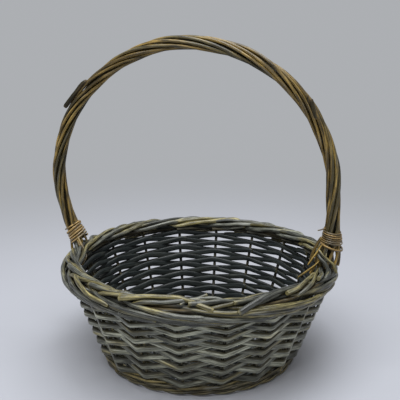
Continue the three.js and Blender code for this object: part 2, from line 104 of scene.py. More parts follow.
class BasketSizes(bpy.types.PropertyGroup):
    """Sizes of the basket's rods and of the shapes that they follow"""

    foot_radius: length("Foot radius", "Radius of the stakes' ring where the wall starts", 0.108)
    wall_lean: turn("Wall lean", "How far the wall leans outwards", 20.4)
    stake_count: IntProperty(name="Stakes", description="Upright rods round the wall", default=18, min=6)
    stake_lag: turn("Stake lag", "How far the first stake stands behind the leg of the handle", 3.0)
    stake_diameter: length("Stake", "Diameter of an upright rod", 0.004)
    base_level: length("Base level", "Height of the base sticks' middle line", 0.00621)
    base_radius: length("Base radius", "Radius of the woven base", 0.103)
    row_count: IntProperty(name="Rows", description="Rows of weavers up the wall", default=16, min=1)
    weaver_share: FloatProperty(
        name="Weaver share", description="Share of a row that its split weaver fills", default=1.06,
        subtype="FACTOR")
    weaver_thickness: length("Weaver thickness", "Thickness of a split weaver", 0.0035)
    border_rod: length("Border rod", "Diameter of a rod of the plaited border", 0.0057)
    bow_diameter: length("Bow", "Diameter of the handle's bow", 0.0072)
    rope_count: IntProperty(name="Rope rods", description="Rods roped round the bow", default=8, min=3)
    rope_rod: length("Rope rod", "Diameter of a roped rod", 0.0037)


class BasketColours(bpy.types.PropertyGroup):
    """Colours of the willow and the cane"""

    weaver: colour("Weavers", "Washed outer face of the weavers", (0.232, 0.237, 0.182))
    stake: colour("Stakes", "Bark of the upright rods", (0.078, 0.075, 0.058))
    wale: colour("Wales", "Round rods at the foot", (0.112, 0.098, 0.056))
    base: colour("Base", "Rods of the woven base", (0.080, 0.068, 0.044))
    border: colour("Border", "Rods of the plaited border", (0.093, 0.096, 0.078))
    handle: colour("Handle", "Rods roped round the bow", (0.082, 0.066, 0.025))
    cane: colour("Cane", "Binding at the handle's feet", (0.215, 0.162, 0.080))
    # Pale patches, also used for the painted highlight along the weavers' lower edges: partly pale weathered
    # bark, partly painted highlights
    wash_and_highlight: colour("Washed", "Pale washed patches on the bark", (0.330, 0.350, 0.340))
    # Dark colour of the inner faces: partly a stain, partly painted shade of the basket's inside
    stain_and_shade: colour("Dye", "Dark dye left on the inner faces", (0.0105, 0.0145, 0.0155))
    floor: colour("Floor", "Floor and backdrop", (0.388, 0.398, 0.436))


# Places on the basket


def clamped(share):
    return min(max(share, 0), 1)


def eased(share):
    """The share, between nought and one, made to start and end gently."""
    share = clamped(share)
    return share * share * (3 - 2 * share)


def uneven(x, y, z):
    return noise.noise(Vector((x, y, z)))


def heading(angle):
    return Vector((math.cos(angle), math.sin(angle), 0))


def bearing(point):
    """The angle round the axis at which a point lies."""
    return math.atan2(point.y - AXIS.y, point.x - AXIS.x)


def around(angle, radius, height):
    return AXIS + Vector((radius * math.cos(angle), radius * math.sin(angle), height))


def places(points):
    """Points that are given in millimetres from the axis."""
    return [AXIS + Vector(point) * MM for point in points]


def wall_radius(height):
    sizes = bpy.context.scene.basket_sizes
    return sizes.foot_radius + height * math.tan(sizes.wall_lean)


def wall_point(angle, height, offset=0):
    """A point on the wall's middle line, moved outwards by an offset square to the wall."""
    lean = bpy.context.scene.basket_sizes.wall_lean
    return around(angle, wall_radius(height) + offset * math.cos(lean), height - offset * math.sin(lean))


def up_the_wall(angle):
    lean = bpy.context.scene.basket_sizes.wall_lean
    return Vector((math.cos(angle) * math.sin(lean), math.sin(angle) * math.sin(lean), math.cos(lean)))


def stake_angle(index):
    sizes = bpy.context.scene.basket_sizes
    return index * math.tau / sizes.stake_count - sizes.stake_lag


def stands_at_leg(index):
    return index % (bpy.context.scene.basket_sizes.stake_count // 2) == 0


def leg_diameter_at(height):
    share = clamped((height - LEG_LOW) / LEG_GROWTH)
    return LEG_FOOT + (bpy.context.scene.basket_sizes.bow_diameter - LEG_FOOT) * share


def middle_height(node):
    low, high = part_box(node)
    return (low.z + high.z) / 2


# Paths


def for_each(value, count):
    """A list as it is, or one value as many times as there are points."""
    return value if isinstance(value, list) else [value] * count


def direction(path, index):
    return (path[min(index + 1, len(path) - 1)] - path[max(index - 1, 0)]).normalized()


def steps_between(start, end, spacing):
    return max(1, round((end - start).length / spacing))


def along_polyline(points, spacing):
    """Points at an even spacing along straight stretches."""
    result = [points[0]]
    for start, end in zip(points, points[1:]):
        steps = steps_between(start, end, spacing)
        result += [start.lerp(end, step / steps) for step in range(1, steps + 1)]
    return result


def smooth_path(points, spacing):
    """A centripetal Catmull-Rom curve through points, as points at about an even spacing."""
    padded = [2 * points[0] - points[1], *points, 2 * points[-1] - points[-2]]
    result = [points[0].copy()]
    for four in zip(padded, padded[1:], padded[2:], padded[3:]):
        knots = [0.0]
        for first, second in zip(four, four[1:]):
            knots.append(knots[-1] + max((second - first).length, TINY) ** 0.5)
        steps = steps_between(four[1], four[2], spacing)
        for step in range(1, steps + 1):
            at = knots[1] + (knots[2] - knots[1]) * step / steps
            result.append(point_between(four, knots, at))
    return result


def point_between(points, knots, at):
    """The curve's point between the middle two of four points, from three rounds of straight steps."""
    for lows, highs in (((0, 1, 2), (1, 2, 3)), ((0, 1), (2, 3)), ((1,), (2,))):
        points = [
            start.lerp(end, (at - knots[low]) / (knots[high] - knots[low]))
            for start, end, low, high in zip(points, points[1:], lows, highs)
        ]
    return points[0]


def rounded_corners(points, reaches):
    """The same path with each corner turned in a short curve that starts and ends a reach away from it."""
    result = [points[0]]
    reaches = for_each(reaches, len(points))
    for before, corner, after, reach in zip(points, points[1:], points[2:], reaches[1:]):
        start, end = [
            corner + (side - corner).normalized() * min(reach, (side - corner).length * CORNER_SHARE)
            for side in (before, after)
        ]
        for step in range(CORNER_STEPS + 1):
            share = step / CORNER_STEPS
            result.append(start.lerp(corner, share).lerp(corner.lerp(end, share), share))
    result.append(points[-1])
    return result


# Rods


class Rods:
    """A mesh of rods in the making. Each rod grows ring by ring and carries its own grain."""

    # A path that starts steeper than this takes a level guide. A rod's grain is shifted by this much at most
    steep = 0.9
    widest_shift = 9

    def __init__(self, seed):
        self.mesh = bmesh.new()
        self.chance = random.Random(seed)

    def stations(self, path, guides):
        """Each point with its sideways, upward and forward directions.

        The upward one keeps to a guide or, without one, turns as little as it can.
        """
        upward = None
        for index, (point, guide) in enumerate(zip(path, for_each(guides, len(path)))):
            along = direction(path, index)
            guide = guide or upward or (UP if abs(along.z) < self.steep else Vector((1, 0, 0)))
            upward = (guide - along * guide.dot(along)).normalized()
            yield point, along.cross(upward) * -1, upward, along

    def grow(self, path, width, height=None, guides=None, tone=None, warm=0.0, sides=ROD_SIDES, wobble=0.05,
             flat=1.0):
        """One closed rod. Width and height are numbers or one number a point; a flat below one squares it."""
        count = len(path)
        widths = for_each(width, count)
        heights = for_each(height, count) if height else widths
        tone = self.chance.random() if tone is None else tone
        shift = self.chance.uniform(0, self.widest_shift)
        rod = bmesh.new()
        grain = rod.verts.layers.float_vector.new("grain")
        place = rod.verts.layers.float_vector.new("place")
        tint = rod.verts.layers.float_vector.new("tint")
        walked = 0.0
        for index, (point, across, upward, along) in enumerate(self.stations(path, guides)):
            at_end = index in (0, count - 1)
            if index:
                walked += (point - path[index - 1]).length
            swell = 1 + wobble * uneven(walked * SWELLINGS, shift * SWELLING_CHANGE, 0)
            share = END_SHARE if at_end else 1
            wide = widths[index] * swell * share / 2
            high = heights[index] * swell * share / 2
            placed = Matrix((across, upward, along)).transposed().to_4x4()
            placed.translation = point
            placed = placed @ Matrix.Diagonal((wide, high, 1, 1))
            if index == 0:
                verts = bmesh.ops.create_circle(rod, cap_ends=True, segments=sides, radius=1)["verts"]
                for vert in verts:
                    vert.co = [math.copysign(abs(side) ** flat, side) for side in vert.co]
                edges = rod.edges[:]
                move = placed
            else:
                made = bmesh.ops.extrude_edge_only(rod, edges=edges)["geom"]
                verts = [item for item in made if isinstance(item, bmesh.types.BMVert)]
                edges = [item for item in made if isinstance(item, bmesh.types.BMEdge)]
                move = placed @ last.inverted()
            bmesh.ops.transform(rod, matrix=move, verts=verts)
            back = placed.inverted()
            for vert in verts:
                local = back @ vert.co
                vert[grain] = (walked + shift, local.x * wide, local.y * high)
                vert[place] = (local.x, local.y, index / (count - 1))
                vert[tint] = (tone, warm, float(at_end))
            if at_end:
                for edge in edges:
                    edge.smooth = False
            last = placed
        bmesh.ops.contextual_create(rod, geom=edges)
        bmesh.ops.recalc_face_normals(rod, faces=rod.faces)
        data = bpy.data.meshes.new("rod")
        rod.to_mesh(data)
        rod.free()
        self.mesh.from_mesh(data)
        bpy.data.meshes.remove(data)

    def grow_short(self, rows, spacing, wobble):
        """Short rods from rows of tone, warmth, thickness and points."""
        for tone, warm, thickness, points in rows:
            path = smooth_path(places(points), spacing)
            self.grow(path, thickness * MM, tone=tone, warm=warm, wobble=wobble)

    def finish(self, name, finish, slot, *nodes):
        """Turns the mesh into a piece that rides on the body and stands for the nodes."""
        for face in self.mesh.faces:
            face.smooth = len(face.verts) == 4
        data = bpy.data.meshes.new(name)
        self.mesh.to_mesh(data)
        self.mesh.free()
        data.materials.append(finish_of(finish))
        piece = bpy.data.objects.new(name, data)
        bpy.context.scene.collection.objects.link(piece)
        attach(piece, BODY)
        if nodes:
            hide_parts(*nodes)


# Finishes


class Nodes:
    """The node tree of a material or a world, with short ways to add and join nodes."""

    def __init__(self, owner):
        owner.use_nodes = True
        self.tree = owner.node_tree
        self.tree.nodes.clear()

    def add(self, kind, inputs=None, **settings):
        node = self.tree.nodes.new("ShaderNode" + kind)
        for key, value in settings.items():
            setattr(node, key, value)
        for key, value in (inputs or {}).items():
            self.feed(node.inputs[key], value)
        return node

    def feed(self, socket, value):
        if isinstance(value, bpy.types.NodeSocket):
            self.tree.links.new(value, socket)
        else:
            socket.default_value = value

    def math(self, operation, first, second):
        return self.add("Math", {0: first, 1: second}, operation=operation).outputs[0]

    def plus(self, first, second):
        return self.math("ADD", first, second)

    def times(self, first, second):
        return self.math("MULTIPLY", first, second)

    def vectors(self, operation, *inputs, output="Vector"):
        return self.add("VectorMath", dict(enumerate(inputs)), operation=operation).outputs[output]

    def parts(self, vector):
        return self.add("SeparateXYZ", {0: vector}).outputs

    def span(self, value, low, high, to_low=0.0, to_high=1.0):
        inputs = {"Value": value, "From Min": low, "From Max": high, "To Min": to_low, "To Max": to_high}
        return self.add("MapRange", inputs, interpolation_type="SMOOTHSTEP").outputs["Result"]

    def mix(self, factor, first, second, blend="MIX"):
        node = self.add("Mix", data_type="RGBA", blend_type=blend)
        for index, value in ((0, factor), (6, first), (7, second)):
            if isinstance(value, tuple):
                value = (*value, 1)
            self.feed(node.inputs[index], value)
        return node.outputs[2]

    def lighten(self, colour, lightness):
        """The colour times a lightness that changes over the surface."""
        grey = self.add("CombineXYZ", {0: lightness, 1: lightness, 2: lightness}).outputs[0]
        return self.mix(1.0, colour, grey, "MULTIPLY")

    def noise(self, vector, scales, detail, roughness):
        stretched = self.vectors("MULTIPLY", vector, scales)
        inputs = {"Vector": stretched, "Scale": 1.0, "Detail": detail, "Roughness": roughness}
        return self.add("TexNoise", inputs).outputs["Fac"]

    def attribute(self, name):
        return self.add("Attribute", attribute_type="GEOMETRY", attribute_name=name).outputs["Vector"]

    def seen(self):
        """One for rays that show a place, nought for rays that only light it."""
        rays = self.add("LightPath").outputs
        seen = self.math("MAXIMUM", rays["Is Camera Ray"], rays["Is Glossy Ray"])
        return self.math("MAXIMUM", seen, rays["Is Transmission Ray"])


def shaded(base, share):
    return tuple(min(1.0, channel * share) for channel in base)


# How far a face looks outwards or upwards where its dark inner colour starts, and where that is full. The
# dark inner colour is partly stain and partly painted shade of the basket's inside
INWARD = (0.35, -0.25)
UPWARD = (-0.15, 0.35)


def inward(nodes):
    """One on faces that look at the basket's axis, nought on faces that look away from it."""
    outward = nodes.vectors("SUBTRACT", nodes.add("TexCoord").outputs["Object"], tuple(AXIS))
    unit = nodes.vectors("NORMALIZE", nodes.vectors("MULTIPLY", outward, (1.0, 1.0, 0.0)))
    normal = nodes.add("NewGeometry").outputs["Normal"]
    return nodes.span(nodes.vectors("DOT_PRODUCT", normal, unit, output="Value"), *INWARD)


def facing_up(nodes):
    """One on faces that look up, nought on faces that look down."""
    return nodes.span(nodes.parts(nodes.add("NewGeometry").outputs["Normal"])[2], *UPWARD)


# Patterns of the bark: how fine along a rod and across it, detail and roughness
STREAKS = ((60.0, 1300.0, 1300.0), 5.0, 0.6)
FINE_STREAKS = ((220.0, 3600.0, 3600.0), 3.0, 0.5)
PATCHES = ((16.0, 120.0, 120.0), 2.0, 0.5)
BLOTCHES = ((55.0, 260.0, 260.0), 3.0, 0.6)
BANDS = ((32.0, 430.0, 430.0), 2.0, 0.5)
PALE_BANDS = ((30.0, 420.0, 420.0), 3.0, 0.6)
PITS = (260.0, 700.0, 700.0)

# Where on its pattern each change of the bark starts, and where it is full
STREAK_MIDDLE, STREAK_REACH = 0.5, 0.20
GOLDEN = (0.56, 0.74)
BANDED = (0.36, 0.64)
WEATHERED = (0.50, 0.68)
PALE = (0.57, 0.76)
# Across a weaver's height: painted shade along its upper part, under the row above, and a painted highlight
# in patches where its lower edge catches light
ROW_SHADE_PART = (0.72, 1.25)
LOWER_EDGE = (-0.50, -0.80)
EDGE_PATCHES = (0.38, 0.58)
PIT_RIM = (0.16, 0.06)
PITTED = (0.46, 0.56)
SHEEN = (0.5, 1.1)

# How dark or light each change makes the bark
DARK_STREAK, LIGHT_STREAK, DARK_GOLD = 0.34, 1.50, 0.38
BAND_TONES = (0.50, 1.45)
# The second of these darkens a weaver's upper part: painted shade under the row above
WEATHERED_TONE, ROW_SHADE_TONE, PIT_TONE, CUT_TONE = 0.22, 0.15, 0.12, 1.6
# The dark inner colour, streaked and with pale patches: partly stain, partly painted shade
DARK_STAIN_AND_SHADE, LIGHT_STAIN_AND_SHADE, PALE_INSIDE_TONE = 0.45, 1.9, 0.6
DARKEST_ROD, TONE_RANGE = 0.50, 0.90

# How strong each change is
WARMTH_STRENGTH = 0.5
WEATHERED_STRENGTH = 0.62
RAGGEDNESS = 0.9
# The edge strength is that of the painted highlight along a weaver's lower edge
EDGE_HIGHLIGHT_STRENGTH = 0.34
PIT_STRENGTH = 0.8
CUT_STRENGTH = 0.55
# The first of these is the pale patches on the dark inner colour, which is partly stain and partly painted
# shade
PALE_INSIDE_STRENGTH = 0.35
SHEEN_BLOTCHES = 0.6
GLOSSIER, MATTER = 0.1, 0.2

# How deep the streaks, the fine streaks and the pits are beside each other, and all of them together
STREAK_DEPTH, FINE_DEPTH, PIT_DEPTH = 0.6, 0.25, 0.6
RELIEF_STRENGTH, RELIEF_DEPTH = 0.7, 0.0003


def willow(name, base, warm, gloss, contrast=1.0, shine=0.3, bleach_and_highlight=0.55, inner_stain_and_shade=0.0, inside=inward,
           row_shade_and_highlight=0.0):
    """Willow bark: streaks along the rod, warm stretches, pits, pale cut ends and a dark inner side that is
    partly stain and partly painted shade.

    The banding paints shade along a rod's upper part, under the row above, and a painted highlight along its
    lower edge.
    """
    material = bpy.data.materials.new(name)
    nodes = Nodes(material)
    colours = bpy.context.scene.basket_colours
    wash_and_highlight = tuple(colours.wash_and_highlight)
    grain = nodes.attribute("grain")
    tone, warmth, cut = nodes.parts(nodes.attribute("tint"))
    streak = nodes.noise(grain, *STREAKS)
    fine = nodes.noise(grain, *FINE_STREAKS)
    patch = nodes.noise(grain, *PATCHES)
    blotch = nodes.noise(grain, *BLOTCHES)
    reach = STREAK_REACH / contrast
    worn = nodes.span(streak, STREAK_MIDDLE - reach, STREAK_MIDDLE + reach)
    plain = nodes.mix(worn, shaded(base, DARK_STREAK), shaded(base, LIGHT_STREAK))
    golden = nodes.mix(worn, shaded(warm, DARK_GOLD), shaded(warm, LIGHT_STREAK))
    gold = nodes.span(nodes.plus(patch, nodes.times(warmth, WARMTH_STRENGTH)), *GOLDEN)
    surface = nodes.mix(gold, plain, golden)
    surface = nodes.lighten(surface, nodes.span(nodes.noise(grain, *BANDS), *BANDED, *BAND_TONES))
    weathered = nodes.times(nodes.span(blotch, *WEATHERED), WEATHERED_STRENGTH)
    surface = nodes.mix(weathered, surface, shaded(base, WEATHERED_TONE))
    # Pale patches along the rod: partly pale weathered bark, partly painted highlights
    pale = nodes.span(nodes.noise(grain, *PALE_BANDS), *PALE)
    surface = nodes.mix(nodes.times(pale, bleach_and_highlight), surface, wash_and_highlight)
    # Painted light across a weaver's height: painted shade along its upper part, under the row above, and a
    # painted highlight in patches along its lower edge
    if row_shade_and_highlight:
        up = nodes.parts(nodes.attribute("place"))[1]
        ragged = nodes.plus(up, nodes.times(blotch, RAGGEDNESS))
        upper = nodes.times(nodes.span(ragged, *ROW_SHADE_PART), row_shade_and_highlight)
        surface = nodes.mix(upper, surface, shaded(warm, ROW_SHADE_TONE))
        edge = nodes.times(nodes.span(up, *LOWER_EDGE), nodes.span(patch, *EDGE_PATCHES))
        surface = nodes.mix(nodes.times(edge, EDGE_HIGHLIGHT_STRENGTH), surface, wash_and_highlight)
    surface = nodes.lighten(surface, nodes.plus(nodes.times(tone, TONE_RANGE), DARKEST_ROD))
    pits = nodes.add("TexVoronoi", {"Vector": nodes.vectors("MULTIPLY", grain, PITS), "Scale": 1.0})
    pitted = nodes.times(nodes.span(pits.outputs["Distance"], *PIT_RIM), nodes.span(blotch, *PITTED))
    surface = nodes.mix(nodes.times(pitted, PIT_STRENGTH), surface, shaded(base, PIT_TONE))
    surface = nodes.mix(nodes.times(cut, CUT_STRENGTH), surface, shaded(warm, CUT_TONE))
    # The dark inner side, on the faces that the inside mask picks: partly stain, partly painted shade of the
    # basket's inside
    if inner_stain_and_shade:
        stain_and_shade = nodes.mix(worn, shaded(colours.stain_and_shade, DARK_STAIN_AND_SHADE), shaded(colours.stain_and_shade, LIGHT_STAIN_AND_SHADE))
        stain_and_shade = nodes.mix(nodes.times(pale, PALE_INSIDE_STRENGTH), stain_and_shade, shaded(base, PALE_INSIDE_TONE))
        surface = nodes.mix(nodes.times(inside(nodes), inner_stain_and_shade), surface, stain_and_shade)
    relief = nodes.plus(nodes.times(streak, STREAK_DEPTH), nodes.times(fine, FINE_DEPTH))
    relief = nodes.math("SUBTRACT", relief, nodes.times(pitted, PIT_DEPTH))
    bump = nodes.add("Bump", {"Height": relief, "Strength": RELIEF_STRENGTH, "Distance": RELIEF_DEPTH})
    sheen = nodes.plus(streak, nodes.times(blotch, SHEEN_BLOTCHES))
    shader = nodes.add("BsdfPrincipled", {
        "Base Color": surface,
        "Roughness": nodes.span(sheen, *SHEEN, gloss - GLOSSIER, gloss + MATTER),
        "Specular IOR Level": shine,
        "Normal": bump.outputs[0],
    })
    nodes.add("OutputMaterial", {"Surface": shader.outputs[0]})
    return material


# Each finish: its colour, the share of it that is used, its warm tone and how its bark differs
FINISHES = {
    "weaver willow": ("weaver", 1, (0.222, 0.192, 0.086), {
        "gloss": 0.36, "contrast": 1.3, "shine": 0.35, "inner_stain_and_shade": 0.96, "row_shade_and_highlight": 0.95}),
    "stake willow": ("stake", 1, (0.082, 0.070, 0.040), {"gloss": 0.45, "shine": 0.2, "inner_stain_and_shade": 0.2}),
    "wale willow": ("wale", 1, (0.185, 0.148, 0.060), {"gloss": 0.36, "contrast": 1.6, "inner_stain_and_shade": 0.8}),
    "base willow": ("base", 1, (0.150, 0.110, 0.050), {
        "gloss": 0.5, "shine": 0.2, "inner_stain_and_shade": 0.9, "inside": facing_up}),
    "border willow": ("border", 1, (0.156, 0.135, 0.056), {"gloss": 0.28, "contrast": 1.9, "shine": 0.5}),
    # Strands inside the plait: a dark share of the border's colour, painted shade in the plait's gaps
    "under willow": ("border", 0.32, (0.050, 0.038, 0.018), {"gloss": 0.5, "shine": 0.15, "inner_stain_and_shade": 0.4}),
    "handle willow": ("handle", 1, (0.172, 0.114, 0.028), {
        "gloss": 0.27, "contrast": 1.8, "shine": 0.5, "bleach_and_highlight": 0.26}),
    # The bow: nearly black, painted shade between the rods roped round it
    "bow willow": ("handle", 0.20, (0.022, 0.014, 0.006), {"gloss": 0.5, "shine": 0.15}),
    "dark willow": ("handle", 0.35, (0.070, 0.045, 0.020), {"gloss": 0.45}),
    "cane strip": ("cane", 1, (0.255, 0.165, 0.055), {
        "gloss": 0.26, "contrast": 1.3, "shine": 0.6, "bleach_and_highlight": 0.35}),
}


def finish_of(name):
    """The finish of that name, made once."""
    if name in bpy.data.materials:
        return bpy.data.materials[name]
    base, share, warm, bark = FINISHES[name]
    return willow(name, shaded(getattr(bpy.context.scene.basket_colours, base), share), warm, **bark)


# Base, stakes and wall


class BASKET_OT_base(bpy.types.Operator):
    """Weaves the base: sticks pierced through sticks, fanned out, with rounds of thin rods"""

    bl_idname = "basket.base"
    bl_label = "Base"

    # The sticks: their diameter, their spacing at the crossing, their lead on the stakes and their bends
    stick_seed = 400
    diameter = 0.0048
    spacing = 0.0055
    lead = math.radians(2.5)
    bend_room = 0.003
    bend_reach = 0.006
    step = 0.006
    # The sticks that are pushed through: half the run between their bends, and where they are pared thin
    through_count = 4
    through_half = 0.01375
    pared_half = 0.0185
    pared_share = 0.74
    through_warmth = 0.2
    # The sticks that are split: half the length of the slit, and the two splints beside it
    split_count = 5
    split_half = 0.011
    split_reach = 0.004
    split_gap = 0.0006
    splint = ((-0.0135, 0.0013), (-0.0116, 0.0029), (0.0, 0.0031), (0.0116, 0.0029), (0.0135, 0.0013))
    splint_width = 0.92
    splint_thickness = 0.00185
    splint_step = 0.002
    split_tone = 0.2
    tone_step = 0.13
    # The rounds of thin rods
    round_seed = 420
    round_count = 28
    round_steps = 126
    round_diameter = 0.0027
    round_spread = (0.92, 1.05)
    round_warmth = (0, 0.4)
    first_round = 0.0205
    round_gap = 0.0001
    round_climb = 0.25
    sharpness = 1.5

    def stick(self, sizes, place, half):
        """A stick's outer end, its two bends at the crossing and its other end."""
        angle = place * math.tau / sizes.stake_count
        bend = half + self.bend_room
        return (
            heading(math.pi - angle + self.lead) * sizes.base_radius,
            Vector((-bend, place * self.spacing, 0)),
            Vector((bend, place * self.spacing, 0)),
            heading(angle + self.lead) * sizes.base_radius,
        )

    def execute(self, context):
        sizes = context.scene.basket_sizes
        rods = Rods(self.stick_seed)
        middle = AXIS + UP * sizes.base_level
        quarter_turn = Matrix.Rotation(math.pi / 2, 3, "Z")
        for index in range(self.through_count):
            place = index - (self.through_count - 1) / 2
            corners = [middle + quarter_turn @ point for point in self.stick(sizes, place, self.through_half)]
            path = along_polyline(rounded_corners(corners, self.bend_reach), self.step)
            heights = [
                self.diameter * (self.pared_share if (point - middle).length < self.pared_half else 1.0)
                for point in path
            ]
            rods.grow(path, self.diameter, heights, UP, warm=self.through_warmth)
        for index in range(self.split_count):
            place = index - (self.split_count - 1) / 2
            tone = self.split_tone + self.tone_step * index
            corners = [middle + point for point in self.stick(sizes, place, self.split_half)]
            centre = middle + Vector((0, place * self.spacing, 0))
            for tip, bend, sign in ((corners[0], corners[1], -1), (corners[3], corners[2], 1)):
                foot = centre + Vector((sign * (self.split_half + self.split_gap), 0, 0))
                path = along_polyline(rounded_corners([tip, bend, foot], self.split_reach), self.step)
                rods.grow(path, self.diameter, guides=UP, tone=tone)
            for sign in (-1, 1):
                points = [centre + Vector((end, 0, sign * lift)) for end, lift in self.splint]
                path = smooth_path(points, self.splint_step)
                rods.grow(path, self.diameter * self.splint_width, self.splint_thickness, UP, tone=tone)
        sticks = ["base_stick_%d" % (index + 1) for index in range(self.through_count + self.split_count)]
        rods.finish("base_sticks", "base willow", "willow_base", *sticks)
        self.rounds(sizes)
        return {"FINISHED"}

    def rounds(self, sizes):
        rods = Rods(self.round_seed)
        chance = rods.chance
        diameter = self.round_diameter
        steps = self.round_steps
        pitch = (sizes.base_radius - diameter / 2 - self.first_round) / (self.round_count - 1)
        lift = (self.diameter + diameter) / 2 + self.round_gap
        for lap in range(self.round_count):
            radius = self.first_round + lap * pitch
            start = chance.uniform(0, math.tau)
            path = []
            for step in range(steps):
                angle = start + math.tau * step / steps
                wave = math.cos(sizes.stake_count / 2 * (angle - self.lead) + (math.pi if lap % 2 else 0))
                wave = math.copysign(min(abs(wave) * self.sharpness, 1.0), wave)
                climbed = self.round_climb * pitch * step / steps
                path.append(around(angle, radius + climbed, sizes.base_level + lift * wave))
            rods.grow(path, diameter * chance.uniform(*self.round_spread), guides=UP, sides=ROUND_SIDES,
                      warm=chance.uniform(*self.round_warmth))
        rods.finish("base_rounds", "base willow", "willow_base", "base_weave")


class BASKET_OT_stakes(bpy.types.Operator):
    """Sets the stakes: out of the base, up the wall and bent down into the border"""

    bl_idname = "basket.stakes"
    bl_label = "Stakes"

    # How far a stake is pushed into the base, its bend there, and its heights up the wall
    seed = 100
    tuck = 0.019
    bend = 0.006
    bend_inset = 0.0012
    bend_rise = 0.0013
    wall_levels = (0.030, 0.060, 0.090, 0.104)
    # The end that is laid along the rim: degrees past the stake, radius and height
    laid_end = ((1.2, 0.1473, 0.1080), (4.5, 0.1452, 0.1101), (12, 0.1426, 0.1106))
    tip_reach = (19, 22)
    tip = (0.1414, 0.1102)
    spacing = 0.0022
    taper = 0.12
    warmth = (0.1, 0.6)

    def execute(self, context):
        sizes = context.scene.basket_sizes
        foot = wall_radius(sizes.base_level)
        for index in range(sizes.stake_count):
            angle = stake_angle(index)
            rods = Rods(self.seed + index)
            points = [
                around(angle, sizes.base_radius - self.tuck, sizes.base_level),
                around(angle, foot - self.bend, sizes.base_level),
                around(angle, foot - self.bend_inset, sizes.base_level + self.bend_rise),
                wall_point(angle, sizes.base_level + self.bend),
                *[wall_point(angle, level) for level in self.wall_levels],
            ]
            tip = (rods.chance.uniform(*self.tip_reach), *self.tip)
            for past, radius, level in (*self.laid_end, tip):
                points.append(around(angle + past * math.radians(1), radius, level))
            path = smooth_path(points, self.spacing)
            last = len(path) - 1
            widths = [sizes.stake_diameter * (1.0 - self.taper * step / last) for step in range(last + 1)]
            rods.grow(path, widths, sides=FINE_SIDES, warm=rods.chance.uniform(*self.warmth))
            number = index + 1
            rods.finish("upright_%02d" % number, "stake willow", "willow_stakes", "stake_%02d" % number)
        return {"FINISHED"}


class BASKET_OT_wales(bpy.types.Operator):
    """Works the round rods at the foot: two twisted pairs, and a wale of three round the stakes"""

    bl_idname = "basket.wales"
    bl_label = "Wales"

    # The twisted pairs: name, node, diameter and seed of each
    pairs = (("foot_coil", "foot_wale", 0.00235, 300), ("lower_coil", "lower_wale", 0.0027, 310))
    # Strokes in a round, a rod's distance from the pair's middle in diameters, and the second rod's lag
    strokes = 26
    pair_lift = 0.52
    pair_lag = 0.6
    pair_warmth = 0.25
    # The wale of three
    wale_seed = 320
    wale_diameter = 0.0031
    wale_gap = 0.0004
    leg_room = 0.0006
    wale_lift = 0.00165
    wale_warmth = 0.2
    corner = 0.006
    spacing = 0.0045

    def execute(self, context):
        for pair in self.pairs:
            self.twisted(*pair)
        self.wale(context.scene.basket_sizes)
        return {"FINISHED"}

    def twisted(self, name, node, diameter, seed):
        """A pair of rods twisted round each other. The one at the foot rests on the floor."""
        low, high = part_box(node)
        rods = Rods(seed)
        radius = (high.x - low.x - (high.z - low.z)) / 2
        lift = diameter * self.pair_lift
        level = diameter / 2 + lift if node == "foot_wale" else middle_height(node)
        for strand in range(2):
            path = []
            for degree in range(361):
                angle = math.radians(degree) + self.pair_lag * strand
                phase = self.strokes * angle / 2 + math.pi * strand
                path.append(around(angle, radius + lift * math.cos(phase), level + lift * math.sin(phase)))
            rods.grow(path, diameter, guides=UP, sides=FINE_SIDES, warm=self.pair_warmth * strand)
        rods.finish(name, "wale willow", "willow_wale", node)

    def wale(self, sizes):
        level = middle_height("upper_wale")
        rods = Rods(self.wale_seed)
        reach = sizes.stake_diameter / 2 + self.wale_diameter / 2 + self.wale_gap
        for strand in range(3):
            points = []
            for index in range(-1, sizes.stake_count + 1):
                stroke = (index + strand) % 3
                side = 1 if stroke else -1
                height = level + (0.0, -self.wale_lift, self.wale_lift)[stroke]
                angle = stake_angle(index)
                if stands_at_leg(index % sizes.stake_count):
                    offset = side * (reach + self.leg_room)
                    points.append(wall_point(angle, height, offset))
                    points.append(wall_point(angle + sizes.stake_lag, height, offset))
                else:
                    points.append(wall_point(angle, height, side * reach))
            path = along_polyline(rounded_corners(points, self.corner), self.spacing)
            rods.grow(path, self.wale_diameter, sides=FINE_SIDES, warm=self.wale_warmth * strand)
        rods.finish("upper_coil", "wale willow", "willow_wale", "upper_wale")


